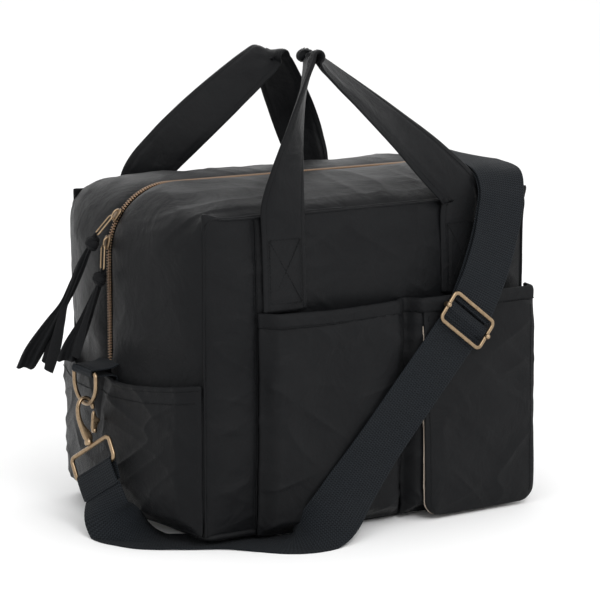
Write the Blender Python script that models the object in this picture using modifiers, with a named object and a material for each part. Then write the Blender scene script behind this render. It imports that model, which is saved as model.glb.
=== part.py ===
"""Baby changing bag: a padded nylon holdall with pockets, two carrying handles and a clip-on strap.

Metres, +Z up. The origin is the middle of the base, the front faces -Y and the long side runs along X.
"""
import math

import bmesh
import bpy
from mathutils import Matrix, Vector

# Body
WIDTH = 0.355
DEPTH = 0.250
HEIGHT = 0.300
HALF_W = WIDTH / 2
HALF_D = DEPTH / 2
CLOTH = 0.003
BASE_T = 0.012
SEAM_GAP = 0.0005
FRONT_BULGE = 0.008
END_BULGE = 0.028
TOP_BULGE = 0.018
END_TUCK = 0.024
TUCK_Z = 0.060
EDGE_R = 0.012
CROWN_R = 0.062
CORNER_LIFT = 0.0052
CORNER_LIFT_REACH = 0.125

# Zip
ZIP_END_Z = 0.155
ZIP_GAP = 0.0090
TOOTH_ROW_W = 0.0031
TOOTH_ROW_T = 0.0022
TAPE_W = 0.012
TAPE_T = 0.0008

# Pockets and flap
POCKET_TOP = 0.212
HEM_H = 0.012
HEM_STEP = 0.0006
POCKET_LEFT_X = -0.125
POCKET_SPLIT_X = 0.031
POCKET_RIGHT_X = 0.174
POCKET_PLANE = 0.1415
FLAP_POCKET_PLANE = 0.1438
POCKET_T = 0.0025
POCKET_BOTTOM = 0.006
POCKET_SEAM_RUN = 0.014
FLAP_LEFT_X = 0.046
FLAP_RIGHT_X = 0.173
FLAP_TOP = POCKET_TOP - HEM_H - 0.0007
FLAP_BOTTOM = 0.004
FLAP_SHELL_T = 0.0026
LINING_T = 0.0010
FLAP_Y = -0.1490
SIDE_POCKET_TOP = 0.140
SIDE_POCKET_SAG = 0.006

# Handles
HANDLE_W = 0.045
HANDLE_T = 0.005
HANDLE_X = 0.0985
PATCH_BOTTOM = 0.2145
HANDLE_FOLD_Z = 0.3020
HANDLE_HINGE_Y = HALF_D + 0.0045

# Carrying strap
STRAP_W = 0.050
STRAP_T = 0.0014
LAYER_STEP = 0.0038
FLOOR_GAP = 0.0002

# Metal fittings
TAB_W = 0.036
TAB_T = 0.0015
TAB_Z = 0.150
TAB_REACH = 0.027
RING_R = 0.0020
RING_W = 0.042
RING_H = 0.031
HOOK_T = 0.0045
HOOK_LEAN = 12.0
LOOP_LEAN = 33.0
LOOP_GAP = 0.0016
LOOP_R = 0.0021
LOOP_W = 0.0575
LOOP_H = 0.022
BUCKLE_W = 0.056
BUCKLE_H = 0.030
BUCKLE_WIRE = 0.0015


def start_scene():
    for item in list(bpy.data.objects):
        bpy.data.objects.remove(item, do_unlink=True)
    parts = bpy.data.collections.new("changing_bag")
    bpy.context.scene.collection.children.link(parts)
    return parts


PARTS = start_scene()


def material(name, colour, roughness, metallic=0.0):
    mat = bpy.data.materials.new(name)
    mat.use_nodes = True
    shader = mat.node_tree.nodes["Principled BSDF"]
    shader.inputs["Base Color"].default_value = (*colour, 1.0)
    shader.inputs["Roughness"].default_value = roughness
    shader.inputs["Metallic"].default_value = metallic
    return mat


NYLON = material("nylon", (0.020, 0.021, 0.023), 0.62)
WEBBING = material("webbing", (0.014, 0.017, 0.021), 0.80)
LINING = material("lining", (0.42, 0.35, 0.29), 0.85)
TAPE = material("zip_tape", (0.012, 0.013, 0.015), 0.85)
TEETH = material("zip_teeth", (0.30, 0.19, 0.12), 0.38, 1.0)
BRASS = material("antique_brass", (0.38, 0.28, 0.18), 0.35, 1.0)


# ---------------------------------------------------------------- modelling helpers

def add_object(name, data, mat):
    item = bpy.data.objects.new(name, data)
    PARTS.objects.link(item)
    data.materials.append(mat)
    return item


def set_origin(item, point):
    """Put the object's origin on its joint without moving its shape."""
    shift = Vector(point) - item.location
    item.data.transform(Matrix.Translation(-shift))
    item.location = item.location + shift
    return item


def sheet(name, surface, columns, rows, thickness, mat, offset=-1.0):
    """A grid bent onto surface(u, v), u and v from 0 to 1, then thickened."""
    mesh = bpy.data.meshes.new(name)
    work = bmesh.new()
    bmesh.ops.create_grid(work, x_segments=columns, y_segments=rows, size=0.5)
    for vert in work.verts:
        vert.co = Vector(surface(vert.co.x + 0.5, vert.co.y + 0.5))
    work.to_mesh(mesh)
    work.free()
    mesh.shade_smooth()
    item = add_object(name, mesh, mat)
    thick = item.modifiers.new("thickness", "SOLIDIFY")
    thick.thickness = thickness
    thick.offset = offset
    mesh.set_sharp_from_angle(angle=math.radians(40))
    return item


def wire(name, points, radius, mat, closed=True):
    """A round bar along points, with the frame's sides as straight runs."""
    curve = bpy.data.curves.new(name, "CURVE")
    curve.dimensions = "3D"
    curve.bevel_depth = radius
    curve.bevel_resolution = 3
    curve.use_fill_caps = not closed
    spline = curve.splines.new("POLY")
    spline.points.add(len(points) - 1)
    for target, point in zip(spline.points, points):
        target.co = (*point, 1.0)
    spline.use_cyclic_u = closed
    spline.use_smooth = True
    return add_object(name, curve, mat)


def plate(name, outline, thickness, rounding, mat):
    """A flat outline in local X, Y, thickened along local Z with rounded edges."""
    curve = bpy.data.curves.new(name, "CURVE")
    curve.dimensions = "2D"
    curve.fill_mode = "BOTH"
    curve.extrude = thickness / 2 - rounding
    curve.bevel_depth = rounding
    curve.bevel_resolution = 1
    curve.offset = -rounding
    spline = curve.splines.new("POLY")
    spline.points.add(len(outline) - 1)
    for target, point in zip(spline.points, outline):
        target.co = (point[0], point[1], 0.0, 1.0)
    spline.use_cyclic_u = True
    return add_object(name, curve, mat)


def spread(keys, position):
    """Catmull-Rom value through evenly spaced keys, position from 0 to 1."""
    place = min(max(position, 0.0), 1.0) * (len(keys) - 1)
    index = min(int(place), len(keys) - 2)
    t = place - index
    before = Vector(keys[max(index - 1, 0)])
    here = Vector(keys[index])
    there = Vector(keys[index + 1])
    after = Vector(keys[min(index + 2, len(keys) - 1)])
    return 0.5 * (
        2 * here
        + (there - before) * t
        + (2 * before - 5 * here + 4 * there - after) * t ** 2
        + (3 * here - before - 3 * there + after) * t ** 3
    )


def ribbon(name, stations, width, thickness, mat, rows, shift=0.0):
    """A flat band along stations: each is a centre point and the direction of its width."""
    centres = [station[0] for station in stations]
    across = [station[1] for station in stations]

    def surface(u, v):
        centre = spread(centres, v)
        ahead = (spread(centres, v + 0.002) - spread(centres, v - 0.002)).normalized()
        side = spread(across, v).normalized()
        square = min(1.0, v / 0.08, (1 - v) / 0.08)
        side = (side - ahead * side.dot(ahead) * square).normalized()
        spot = centre + side * (width * (u - 0.5)) + ahead.cross(side) * shift
        spot.z = max(spot.z, thickness / 2 + FLOOR_GAP)
        return spot

    return sheet(name, surface, 1, rows, thickness, mat, 0.0)


def arc(centre, radius, start, stop, count):
    """Points of an arc in the plane, angles in degrees."""
    step = (stop - start) / count
    angles = [math.radians(start + step * i) for i in range(count + 1)]
    return [(centre[0] + radius * math.cos(a), centre[1] + radius * math.sin(a)) for a in angles]


def rounded_rectangle(width, height, radius, corner_steps=4):
    x = width / 2 - radius
    y = height / 2 - radius
    corners = ((x, y, 0), (-x, y, 90), (-x, -y, 180), (x, -y, 270))
    return [p for cx, cy, a in corners for p in arc((cx, cy), radius, a, a + 90, corner_steps)]


# ---------------------------------------------------------------- body shape

def front_y(x, z):
    """How far the front panel swells forward at x, z."""
    across = max(0.0, 1 - (x / HALF_W) ** 2)
    up = max(0.0, 1 - ((z - HEIGHT / 2) / (HEIGHT / 2)) ** 2)
    return HALF_D + FRONT_BULGE * across * up


def gusset_point(along, y, inset=0.0, start_z=BASE_T + SEAM_GAP):
    """A point on the band round ends and top, along from 0 (left base) to 1 (right base)."""
    middle = max(0.0, 1 - (y / HALF_D) ** 2)
    half = HALF_W + END_BULGE * middle - inset
    top = HEIGHT + TOP_BULGE * middle - inset
    radius = EDGE_R + (CROWN_R - EDGE_R) * middle ** 0.7 - inset
    mirror = -1.0 if along < 0.5 else 1.0
    place = min(along, 1 - along) * 2
    end_share, corner_share = 0.42, 0.22
    if place < end_share:
        z = start_z + (top - radius - start_z) * place / end_share
        tuck = END_TUCK * middle * max(0.0, 1 - z / TUCK_Z) ** 2
        return Vector((mirror * (half - tuck), y, z))
    if place < end_share + corner_share:
        angle = (place - end_share) / corner_share * math.pi / 2
        return Vector((
            mirror * (half - radius + radius * math.cos(angle)),
            y,
            top - radius + radius * math.sin(angle),
        ))
    run = (place - end_share - corner_share) / (1 - end_share - corner_share)
    return Vector((mirror * (half - radius) * (1 - run), y, top))


def end_x(y, z):
    """How far the end panel swells outward at y, z."""
    middle = max(0.0, 1 - (y / HALF_D) ** 2)
    tuck = END_TUCK * middle * max(0.0, 1 - z / TUCK_Z) ** 2
    return HALF_W + END_BULGE * middle - tuck


def make_face_panel(name, facing):
    def surface(u, v):
        x = HALF_W * (2 * u - 1)
        z = BASE_T + SEAM_GAP + (HEIGHT - BASE_T - SEAM_GAP) * v
        return (-facing * x, facing * front_y(x, z), z)

    return sheet(name, surface, 14, 10, CLOTH, NYLON)


def make_gusset(name, facing):
    """The half of the top and end band on one side of the zip, above the lower end panels."""
    start = ZIP_END_Z
    inner = ZIP_GAP / 2
    outer = HALF_D - CLOTH - SEAM_GAP

    def surface(u, v):
        y = inner + (outer - inner) * v
        return gusset_point(u, facing * y, 0.0, start) if facing > 0 else gusset_point(1 - u, -y, 0.0, start)

    return sheet(name, surface, 42, 5, CLOTH, NYLON)


def make_lower_end(name, side):
    span = HALF_D - CLOTH - SEAM_GAP

    def surface(u, v):
        y = side * span * (2 * u - 1)
        z = BASE_T + SEAM_GAP + (ZIP_END_Z - SEAM_GAP - BASE_T - SEAM_GAP) * v
        return (side * end_x(y, z), y, z)

    return sheet(name, surface, 12, 6, CLOTH, NYLON)


def make_base():
    """The padded base, its front left corner riding up where the strap runs beneath."""
    mesh = bpy.data.meshes.new("base_panel")
    work = bmesh.new()
    bmesh.ops.create_cube(work, size=1.0)
    flat_edges = [e for e in work.edges if abs(e.verts[0].co.z - e.verts[1].co.z) < 0.5]
    bmesh.ops.subdivide_edges(work, edges=flat_edges, cuts=11, use_grid_fill=True)
    corner = Vector((-HALF_W, -HALF_D))
    for vert in work.verts:
        x = vert.co.x * (WIDTH + 0.003)
        y = vert.co.y * (DEPTH - 0.0006)
        apart = (Vector((x, y)) - corner).length
        lift = CORNER_LIFT * max(0.0, 1 - (apart / CORNER_LIFT_REACH) ** 2)
        z = BASE_T if vert.co.z > 0 else lift
        vert.co = Vector((x, y, z))
    work.to_mesh(mesh)
    work.free()
    return add_object("base_panel", mesh, NYLON)


# ---------------------------------------------------------------- zip

def make_zip():
    for name, facing in (("front", -1), ("back", 1)):
        def tape(u, v, facing=facing):
            y = facing * (0.0003 + TAPE_W * (v if facing > 0 else 1 - v))
            return gusset_point(u, y, CLOTH + 0.0004, ZIP_END_Z)

        def teeth(u, v, facing=facing):
            y = facing * (0.00015 + TOOTH_ROW_W * (v if facing > 0 else 1 - v))
            return gusset_point(u, y, 0.0006, ZIP_END_Z)

        sheet("zip_tape_" + name, tape, 42, 1, TAPE_T, TAPE)
        sheet("zip_teeth_" + name, teeth, 42, 1, TOOTH_ROW_T, TEETH)


SLIDER_CENTRE = Vector((-(HALF_W + END_BULGE - CROWN_R), 0.0, HEIGHT + TOP_BULGE - CROWN_R))
UPPER_ANGLE = 34.0
LOWER_ANGLE = 10.0
SLIDER_L = 0.013
SLIDER_W = 0.0095
SLIDER_T = 0.0028
SLIDER_LIFT = 0.0016
PULL_L = 0.022
UPPER_DROP = (-0.80, 0.30, -1.0)
LOWER_DROP = (-0.12, -0.12, -1.0)


def slider_frame(angle):
    """A slider's local axes: X along the zip upwards, Y across it, Z away from the bag."""
    a = math.radians(angle)
    away = Vector((-math.cos(a), 0.0, math.sin(a)))
    ahead = Vector((math.sin(a), 0.0, math.cos(a)))
    across = away.cross(ahead)
    turn = Matrix((ahead, across, away)).transposed().to_4x4()
    spot = SLIDER_CENTRE + away * (CROWN_R + SLIDER_LIFT + SLIDER_T / 2)
    return Matrix.Translation(spot) @ turn


def make_slider(name, angle):
    outline = [(-0.5, 0.30), (-0.2, 0.5), (0.3, 0.5), (0.5, 0.34), (0.5, -0.34), (0.3, -0.5), (-0.2, -0.5), (-0.5, -0.30)]
    shape = [(x * SLIDER_L, y * SLIDER_W) for x, y in outline]
    body = plate(name, shape, SLIDER_T, 0.0007, BRASS)
    body.matrix_world = slider_frame(angle)
    return body


def pull_hinge(angle):
    return slider_frame(angle) @ Vector((-0.0035, 0.0, SLIDER_T / 2 + 0.0022))


def make_pull(name, angle, drop):
    """A slim metal pull: a long ring that hangs from the slider along drop."""
    hinge = pull_hinge(angle)
    drop = Vector(drop).normalized()
    side = Vector((0.0, 1.0, 0.0))
    side = (side - drop * side.dot(drop)).normalized()
    loop = rounded_rectangle(0.0060, PULL_L, 0.0028, 3)
    points = [hinge + side * x + drop * (y + PULL_L / 2) for x, y in loop]
    ring = wire(name, points, 0.0008, BRASS)
    ring.data.transform(Matrix.Translation(-hinge))
    ring.location = hinge
    return ring


# ---------------------------------------------------------------- pockets and flap

def pocket_y(x, z, left, right, plane):
    """A pocket's front wall: it stands off the panel and comes back to it at its seams."""
    edge = min(x - left, right - x, z - POCKET_BOTTOM)
    rise = min(1.0, max(0.0, edge / POCKET_SEAM_RUN))
    smooth = rise * rise * (3 - 2 * rise)
    seam = front_y(x, z) + POCKET_T + SEAM_GAP
    return seam + (plane - seam) * smooth


def make_front_pocket(name, left, right, plane):
    top = POCKET_TOP - HEM_H - SEAM_GAP

    def surface(u, v):
        x = left + (right - left) * u
        z = POCKET_BOTTOM + (top - POCKET_BOTTOM) * v
        return (x, -pocket_y(x, z, left, right, plane), z)

    return sheet(name, surface, 16, 12, POCKET_T, NYLON)


def make_hem(name, left, right, plane):
    def surface(u, v):
        x = left + (right - left) * u
        z = POCKET_TOP - HEM_H + HEM_H * v
        return (x, -pocket_y(x, z, left, right, plane) - HEM_STEP, z)

    return sheet(name, surface, 16, 1, POCKET_T + HEM_STEP, NYLON)


def make_flap():
    """The hanging flap: a padded sheet with round lower corners, hinged at its stitching."""
    width = FLAP_RIGHT_X - FLAP_LEFT_X
    tall = FLAP_TOP - FLAP_BOTTOM
    corner = 0.014
    outline = [(width, tall), (0.0, tall)]
    outline += arc((corner, corner), corner, 180, 270, 5)
    outline += arc((width - corner, corner), corner, 270, 360, 5)
    outline = [(x, z - tall) for x, z in outline]
    flap = plate("flap", outline, FLAP_SHELL_T, 0.0008, NYLON)
    lining = plate("flap_lining", outline, LINING_T, 0.0003, LINING)
    flap.location = (FLAP_LEFT_X, FLAP_Y + FLAP_SHELL_T / 2, FLAP_TOP)
    flap.rotation_euler = (math.radians(90), 0.0, 0.0)
    lining.parent = flap
    lining.location = (0.0, 0.0, -(FLAP_SHELL_T + LINING_T) / 2 - 0.0003)


def make_side_pocket(name, side):
    """The wide pocket across an end, tacked at its middle by the ring tab."""
    span = HALF_D - 0.004
    bottom = BASE_T + 0.004

    def surface(u, v):
        y = side * span * (2 * u - 1)
        halves = math.sin(math.pi * abs(y) / span)
        sag = SIDE_POCKET_SAG * halves
        z = bottom + (SIDE_POCKET_TOP - sag - bottom) * v
        edge = min(1.0, (span - abs(y)) / 0.015, (z - bottom) / 0.012)
        tack = min(1.0, 0.25 + abs(y) / 0.03 + (SIDE_POCKET_TOP - z) / 0.06)
        stand = POCKET_T + SEAM_GAP + 0.008 * max(0.0, edge) * tack
        return (side * (end_x(y, z) + stand), y, z)

    return sheet(name, surface, 20, 8, POCKET_T, NYLON)


# ---------------------------------------------------------------- handles

def handle_stations(facing, peak_x, peak_z):
    """Stations of the free loop: up one leg, over the peak and down the other."""
    foot_y = facing * HANDLE_HINGE_Y
    top_y = facing * (HALF_D - 0.012)
    left, right = -HANDLE_X, HANDLE_X
    z0 = HANDLE_FOLD_Z + 0.0035
    flat = Vector((1.0, 0.0, 0.0))

    def leg(foot_x, share):
        x = foot_x + (peak_x - foot_x) * share ** 1.12
        y = foot_y + (top_y - foot_y) * share
        return Vector((x, y, z0 + (peak_z - z0) * share))

    def side(turn, slope):
        a = math.radians(turn)
        return Vector((math.cos(a) * slope[0], facing * -math.sin(a), math.cos(a) * slope[1]))

    stations = [(leg(left, 0.0), flat)]
    slant_left = (0.90, -0.35 - 0.35 * (peak_x > 0))
    for share, turn in ((0.25, 8), (0.5, 20), (0.75, 38), (0.93, 58)):
        stations.append((leg(left, share), side(turn, slant_left)))
    stations.append((leg(left, 1.0), side(62, (0.80, 0.0))))
    slant_right = (0.90, 0.45 + 0.25 * (peak_x < 0))
    for share, turn in ((0.93, 58), (0.75, 38), (0.5, 20), (0.25, 8)):
        stations.append((leg(right, share), side(turn, slant_right)))
    stations.append((leg(right, 0.0), flat))
    return stations


def make_handle(name, facing, peak_x, peak_z):
    handle = ribbon(name, handle_stations(facing, peak_x, peak_z), HANDLE_W, HANDLE_T, NYLON, 40)
    return set_origin(handle, (0.0, facing * HANDLE_HINGE_Y, HANDLE_FOLD_Z))


def make_patch(name, facing, x):
    """The stitched-down end of a handle."""
    def surface(u, v):
        px = x + HANDLE_W * (u - 0.5)
        z = PATCH_BOTTOM + (HANDLE_FOLD_Z - 0.0008 - PATCH_BOTTOM) * v
        y = front_y(px, z) + HANDLE_T + SEAM_GAP
        return (-facing * px, facing * y, z)

    return sheet(name, surface, 6, 12, HANDLE_T - 0.0005, NYLON)


# ---------------------------------------------------------------- ring tabs, rings and hooks

def tab_axis(side):
    return Vector((side * (HALF_W + END_BULGE + TAB_REACH), 0.0, TAB_Z))


def make_tab(name, side):
    """A webbing loop standing out from the end, with the ring's bar in its fold."""
    turn_r = RING_R + 0.0006 + TAB_T
    root_x = HALF_W + END_BULGE + SEAM_GAP
    axis_x = abs(tab_axis(side).x)
    path = [(root_x, TAB_Z + turn_r)]
    path += [(x, z) for x, z in arc((axis_x, TAB_Z), turn_r, 90, -90, 8)]
    path += [(root_x, TAB_Z - turn_r)]

    def surface(u, v):
        place = min(v * (len(path) - 1), len(path) - 1.000001)
        index = int(place)
        t = place - index
        x = path[index][0] * (1 - t) + path[index + 1][0] * t
        z = path[index][1] * (1 - t) + path[index + 1][1] * t
        return (side * x, side * -TAB_W * (u - 0.5), z)

    return sheet(name, surface, 2, len(path) - 1, TAB_T, WEBBING)


def make_ring(name, side, drop):
    """A D-shaped ring: a straight bar in the tab and a round bow along drop."""
    axis = tab_axis(side)
    half = RING_W / 2
    bow = RING_H - half
    shape = [(-half, 0.0), (half, 0.0), (half, bow)]
    shape += arc((0.0, bow), half, 0, 180, 12)[1:]
    points = [axis + Vector((0.0, a, drop * b)) for a, b in shape]
    ring = wire(name, points, RING_R, BRASS)
    ring.data.transform(Matrix.Translation(-axis))
    ring.location = axis
    return ring


def hang(side, drop, left_lean=HOOK_LEAN):
    """The way a fitting hangs: on the left it leans to the front, where the strap leads."""
    lean = math.radians(left_lean if side < 0 else 0.0)
    return Vector((0.0, -math.sin(lean), drop * math.cos(lean)))


def hook_place(side, drop):
    """Local hook frame: X away from the bag, Y from the loop to the eye, Z through its thickness."""
    ring_bottom = tab_axis(side) + Vector((0.0, 0.0, drop * RING_H))
    away = Vector((side, 0.0, 0.0))
    up = -hang(side, drop)
    turn = Matrix((away, up, away.cross(up))).transposed().to_4x4()
    return Matrix.Translation(ring_bottom) @ turn @ Matrix.Translation(-RING_SEAT)


HOOK_OUTER = [
    (0.0052, -0.0410), (0.0070, -0.0290), (0.0100, -0.0200), (0.0105, -0.0100), (0.0085, -0.0020),
    (0.0040, 0.0030), (-0.0020, 0.0040), (-0.0075, 0.0010), (-0.0100, -0.0050), (-0.0102, -0.0105),
]
HOOK_INNER = [
    (-0.0060, -0.0105), (-0.0058, -0.0060), (-0.0040, -0.0022), (-0.0010, -0.0005), (0.0025, -0.0010),
    (0.0052, -0.0040), (0.0062, -0.0100), (0.0055, -0.0180), (0.0030, -0.0245), (-0.0020, -0.0300),
    (-0.0044, -0.0330), (-0.0040, -0.0410),
]
TRIGGER = [
    (-0.0056, -0.0318), (-0.0030, -0.0284), (-0.0046, -0.0230), (-0.0062, -0.0112), (-0.0098, -0.0112),
    (-0.0096, -0.0180), (-0.0135, -0.0190), (-0.0140, -0.0215), (-0.0100, -0.0250), (-0.0085, -0.0310),
]
TRIGGER_PIVOT = Vector((-0.0066, -0.0300, 0.0))
HOOK_BOTTOM = -0.0410
RING_SEAT = Vector((-0.0008, -0.0037, 0.0))


def make_hook(name, side, drop):
    place = hook_place(side, drop)
    frame = plate(name + "_body", HOOK_OUTER + HOOK_INNER, HOOK_T, 0.0012, BRASS)
    frame.matrix_world = place
    trigger = plate(name + "_trigger", TRIGGER, HOOK_T - 0.0012, 0.0006, BRASS)
    pivot = place @ TRIGGER_PIVOT
    trigger.data.transform(Matrix.Translation(-TRIGGER_PIVOT))
    trigger.matrix_world = Matrix.Translation(pivot) @ place.to_3x3().to_4x4()


def loop_side(side):
    """Direction of the strap loop's width: the left one has swivelled towards the front."""
    if side > 0:
        return Vector((0.0, 1.0, 0.0))
    turned = Vector((-0.20, 0.98, 0.0))
    down = hang(side, -1, LOOP_LEAN)
    return (turned - down * turned.dot(down)).normalized()


def loop_top(side, drop):
    return hook_place(side, drop) @ Vector((0.0, HOOK_BOTTOM - LOOP_R - LOOP_GAP, 0.0))


def make_swivel_loop(name, side, drop):
    top = loop_top(side, drop)
    across = loop_side(side)
    outline = rounded_rectangle(LOOP_W, LOOP_H, 0.0034, 4)
    down = hang(side, drop, LOOP_LEAN)
    points = [top + across * x + down * (y + LOOP_H / 2) for x, y in outline]
    loop = wire(name, points, LOOP_R, BRASS)
    loop.data.transform(Matrix.Translation(-top))
    loop.location = top
    return loop


def strap_bar(side, drop):
    return loop_top(side, drop) + hang(side, drop, LOOP_LEAN) * LOOP_H


def make_strap_end(name, side, drop, tail):
    """The strap's folded end: down one face, round the loop's bar and along the other."""
    bar = strap_bar(side, drop)
    across = loop_side(side)
    down = hang(side, drop, LOOP_LEAN)
    outward = across.cross(down)
    turn_r = LOOP_R + 0.0003 + STRAP_T / 2
    path = [outward * turn_r + down * tail]
    path += [outward * (turn_r * math.cos(a)) - down * (turn_r * math.sin(a))
             for a in (math.radians(step * 22.5) for step in range(9))]
    path += [outward * -turn_r + down * tail]

    def surface(u, v):
        place = min(v * (len(path) - 1), len(path) - 1.000001)
        index = int(place)
        t = place - index
        spot = path[index] * (1 - t) + path[index + 1] * t
        return bar + spot + across * (STRAP_W * (u - 0.5))

    return sheet(name, surface, 2, len(path) - 1, STRAP_T, WEBBING, 0.0)


# ---------------------------------------------------------------- strap and buckle

BUCKLE_AT = Vector((0.0880, -0.1580, 0.1890))
BUCKLE_SIDE = Vector((0.79, 0.0, -0.613)).normalized()
BUCKLE_UP = Vector((0.613, 0.0, 0.79)).normalized()
STRAP_END_TAIL = 0.018


def run_stations():
    """The single run: from the left hook, under the front left corner and up across the front."""
    bar = strap_bar(-1, -1)
    start = bar + hang(-1, -1, LOOP_LEAN) * (STRAP_END_TAIL + 0.0035)
    lie = BUCKLE_AT + Vector((0.0, 0.0052, 0.0))
    return [
        (start, loop_side(-1)),
        (Vector((-0.2335, -0.0430, 0.0215)), (-0.56, 0.72, -0.40)),
        (Vector((-0.2250, -0.0600, 0.0088)), (-0.86, 0.36, -0.24)),
        (Vector((-0.2030, -0.0780, 0.0016)), (-0.90, -0.40, -0.01)),
        (Vector((-0.1780, -0.0950, 0.0013)), (-0.70, -0.70, 0.0)),
        (Vector((-0.1480, -0.1130, 0.0013)), (-0.48, -0.87, 0.0)),
        (Vector((-0.1240, -0.1380, 0.0013)), (-0.30, -0.95, 0.0)),
        (Vector((-0.1020, -0.1600, 0.0046)), (-0.02, -0.97, -0.10)),
        (Vector((-0.0720, -0.1655, 0.0205)), (0.38, -0.62, -0.60)),
        (Vector((-0.038, -0.1560, 0.0490)), (0.62, -0.20, -0.70)),
        (Vector((-0.008, -0.1530, 0.0810)), (0.70, -0.02, -0.70)),
        (Vector((0.026, -0.1530, 0.1190)), (0.70, 0.0, -0.70)),
        (Vector((0.056, -0.1530, 0.1520)), (0.74, 0.0, -0.66)),
        (lie - BUCKLE_UP * 0.016, BUCKLE_SIDE),
        (lie - BUCKLE_UP * 0.0065 + Vector((0.0, -0.0022, 0.0)), BUCKLE_SIDE),
        (lie + Vector((0.0, -0.0047, 0.0)), BUCKLE_SIDE),
        (lie + BUCKLE_UP * 0.0065 + Vector((0.0, -0.0022, 0.0)), BUCKLE_SIDE),
    ]


def upper_stations():
    """The doubled run: from the buckle over the top edge and down the right end to the hook."""
    lie = BUCKLE_AT + Vector((0.0, 0.0050, 0.0))
    stop = strap_bar(1, 1) + Vector((0.0, 0.0, STRAP_END_TAIL + 0.0035))
    return [
        (lie + BUCKLE_UP * 0.0100, BUCKLE_SIDE),
        (Vector((0.1080, -0.1525, 0.2240)), (0.90, 0.0, -0.43)),
        (Vector((0.1220, -0.1500, 0.2560)), (0.96, 0.0, -0.28)),
        (Vector((0.1310, -0.1470, 0.2840)), (0.98, 0.0, -0.18)),
        (Vector((0.1370, -0.1420, 0.3060)), (0.99, 0.0, -0.12)),
        (Vector((0.1420, -0.1270, 0.3230)), (0.98, -0.15, -0.06)),
        (Vector((0.1500, -0.0860, 0.3270)), (0.92, -0.36, -0.08)),
        (Vector((0.1640, -0.0500, 0.3270)), (0.76, -0.60, -0.20)),
        (Vector((0.1880, -0.0260, 0.3180)), (0.50, -0.78, -0.34)),
        (Vector((0.2110, -0.0090, 0.2990)), (0.25, -0.95, -0.20)),
        (Vector((stop.x, -0.0005, 0.2800)), (0.0, -1.0, 0.0)),
        (stop, (0.0, -1.0, 0.0)),
    ]


def make_strap():
    ribbon("strap_run", run_stations(), STRAP_W, STRAP_T, WEBBING, 64)
    ribbon("strap_outer", upper_stations(), STRAP_W, STRAP_T, WEBBING, 44, -LAYER_STEP / 2)
    ribbon("strap_inner", upper_stations(), STRAP_W, STRAP_T, WEBBING, 44, LAYER_STEP / 2)


def make_buckle():
    """The slider buckle: a rectangular wire frame and a bar across its middle."""
    outline = rounded_rectangle(BUCKLE_W, BUCKLE_H, 0.0045, 4)
    frame = wire("buckle_frame", [BUCKLE_SIDE * x + BUCKLE_UP * y for x, y in outline], BUCKLE_WIRE, BRASS)
    frame.location = BUCKLE_AT
    half = BUCKLE_W / 2 + 0.001
    behind = Vector((0.0, 2 * BUCKLE_WIRE + 0.0001, 0.0))
    bar = wire("buckle_bar", [BUCKLE_SIDE * -half, BUCKLE_SIDE * half], 0.0013, BRASS, closed=False)
    bar.location = BUCKLE_AT + behind


def pull_end(angle, drop):
    return pull_hinge(angle) + Vector(drop).normalized() * (PULL_L + 0.0022)


def make_ribbons():
    """The knotted fabric pulls that hang from the two zip pulls."""
    top = pull_end(UPPER_ANGLE, UPPER_DROP)
    upper = [
        (top, (0.2, 1.0, 0.0)),
        (top + Vector((-0.008, 0.016, -0.030)), (0.3, 1.0, 0.1)),
        (top + Vector((-0.014, 0.034, -0.065)), (0.9, 0.3, 0.2)),
        (top + Vector((-0.024, 0.045, -0.105)), (0.5, 0.9, 0.3)),
        (top + Vector((-0.036, 0.056, -0.150)), (0.3, 1.0, 0.5)),
    ]
    low = pull_end(LOWER_ANGLE, LOWER_DROP)
    lower = [
        (low, (0.2, 1.0, 0.0)),
        (low + Vector((-0.006, 0.008, -0.030)), (0.2, 1.0, 0.0)),
        (low + Vector((-0.016, 0.016, -0.060)), (0.5, 0.8, 0.1)),
        (low + Vector((-0.026, 0.022, -0.088)), (0.3, 0.9, 0.2)),
    ]
    for name, stations, angle in (("ribbon_upper", upper, UPPER_ANGLE), ("ribbon_lower", lower, LOWER_ANGLE)):
        item = ribbon(name, stations, 0.016, 0.0012, NYLON, 20)
        set_origin(item, pull_hinge(angle))


def main():
    make_face_panel("front_panel", -1)
    make_face_panel("back_panel", 1)
    make_base()
    make_gusset("gusset_front", -1)
    make_gusset("gusset_back", 1)
    make_lower_end("end_panel_left", -1)
    make_lower_end("end_panel_right", 1)
    make_zip()
    for name, angle, drop in (("upper", UPPER_ANGLE, UPPER_DROP), ("lower", LOWER_ANGLE, LOWER_DROP)):
        make_slider("zip_slider_" + name, angle)
        make_pull("zip_pull_" + name, angle, drop)
    make_ribbons()
    make_front_pocket("front_pocket", POCKET_LEFT_X, POCKET_SPLIT_X - SEAM_GAP, POCKET_PLANE)
    make_hem("front_pocket_hem", POCKET_LEFT_X, POCKET_SPLIT_X - SEAM_GAP, POCKET_PLANE)
    make_front_pocket("flap_pocket", POCKET_SPLIT_X, POCKET_RIGHT_X, FLAP_POCKET_PLANE)
    make_hem("flap_pocket_hem", POCKET_SPLIT_X, POCKET_RIGHT_X, FLAP_POCKET_PLANE)
    make_flap()
    make_handle("handle_front", -1, -0.058, 0.433)
    make_handle("handle_back", 1, 0.040, 0.423)
    for face, facing in (("front", -1), ("back", 1)):
        for end, x in (("left", -HANDLE_X), ("right", HANDLE_X)):
            make_patch("handle_patch_" + face + "_" + end, facing, -facing * x)
    for end, side, drop in (("left", -1, -1), ("right", 1, 1)):
        make_side_pocket("side_pocket_" + end, side)
        make_tab("ring_tab_" + end, side)
        make_ring("ring_" + end, side, drop)
        make_hook("hook_" + end, side, drop)
        make_swivel_loop("hook_" + end + "_loop", side, drop)
        make_strap_end("strap_end_" + end, side, drop, STRAP_END_TAIL)
    make_strap()
    make_buckle()


main()
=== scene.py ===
import itertools
import math

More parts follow.
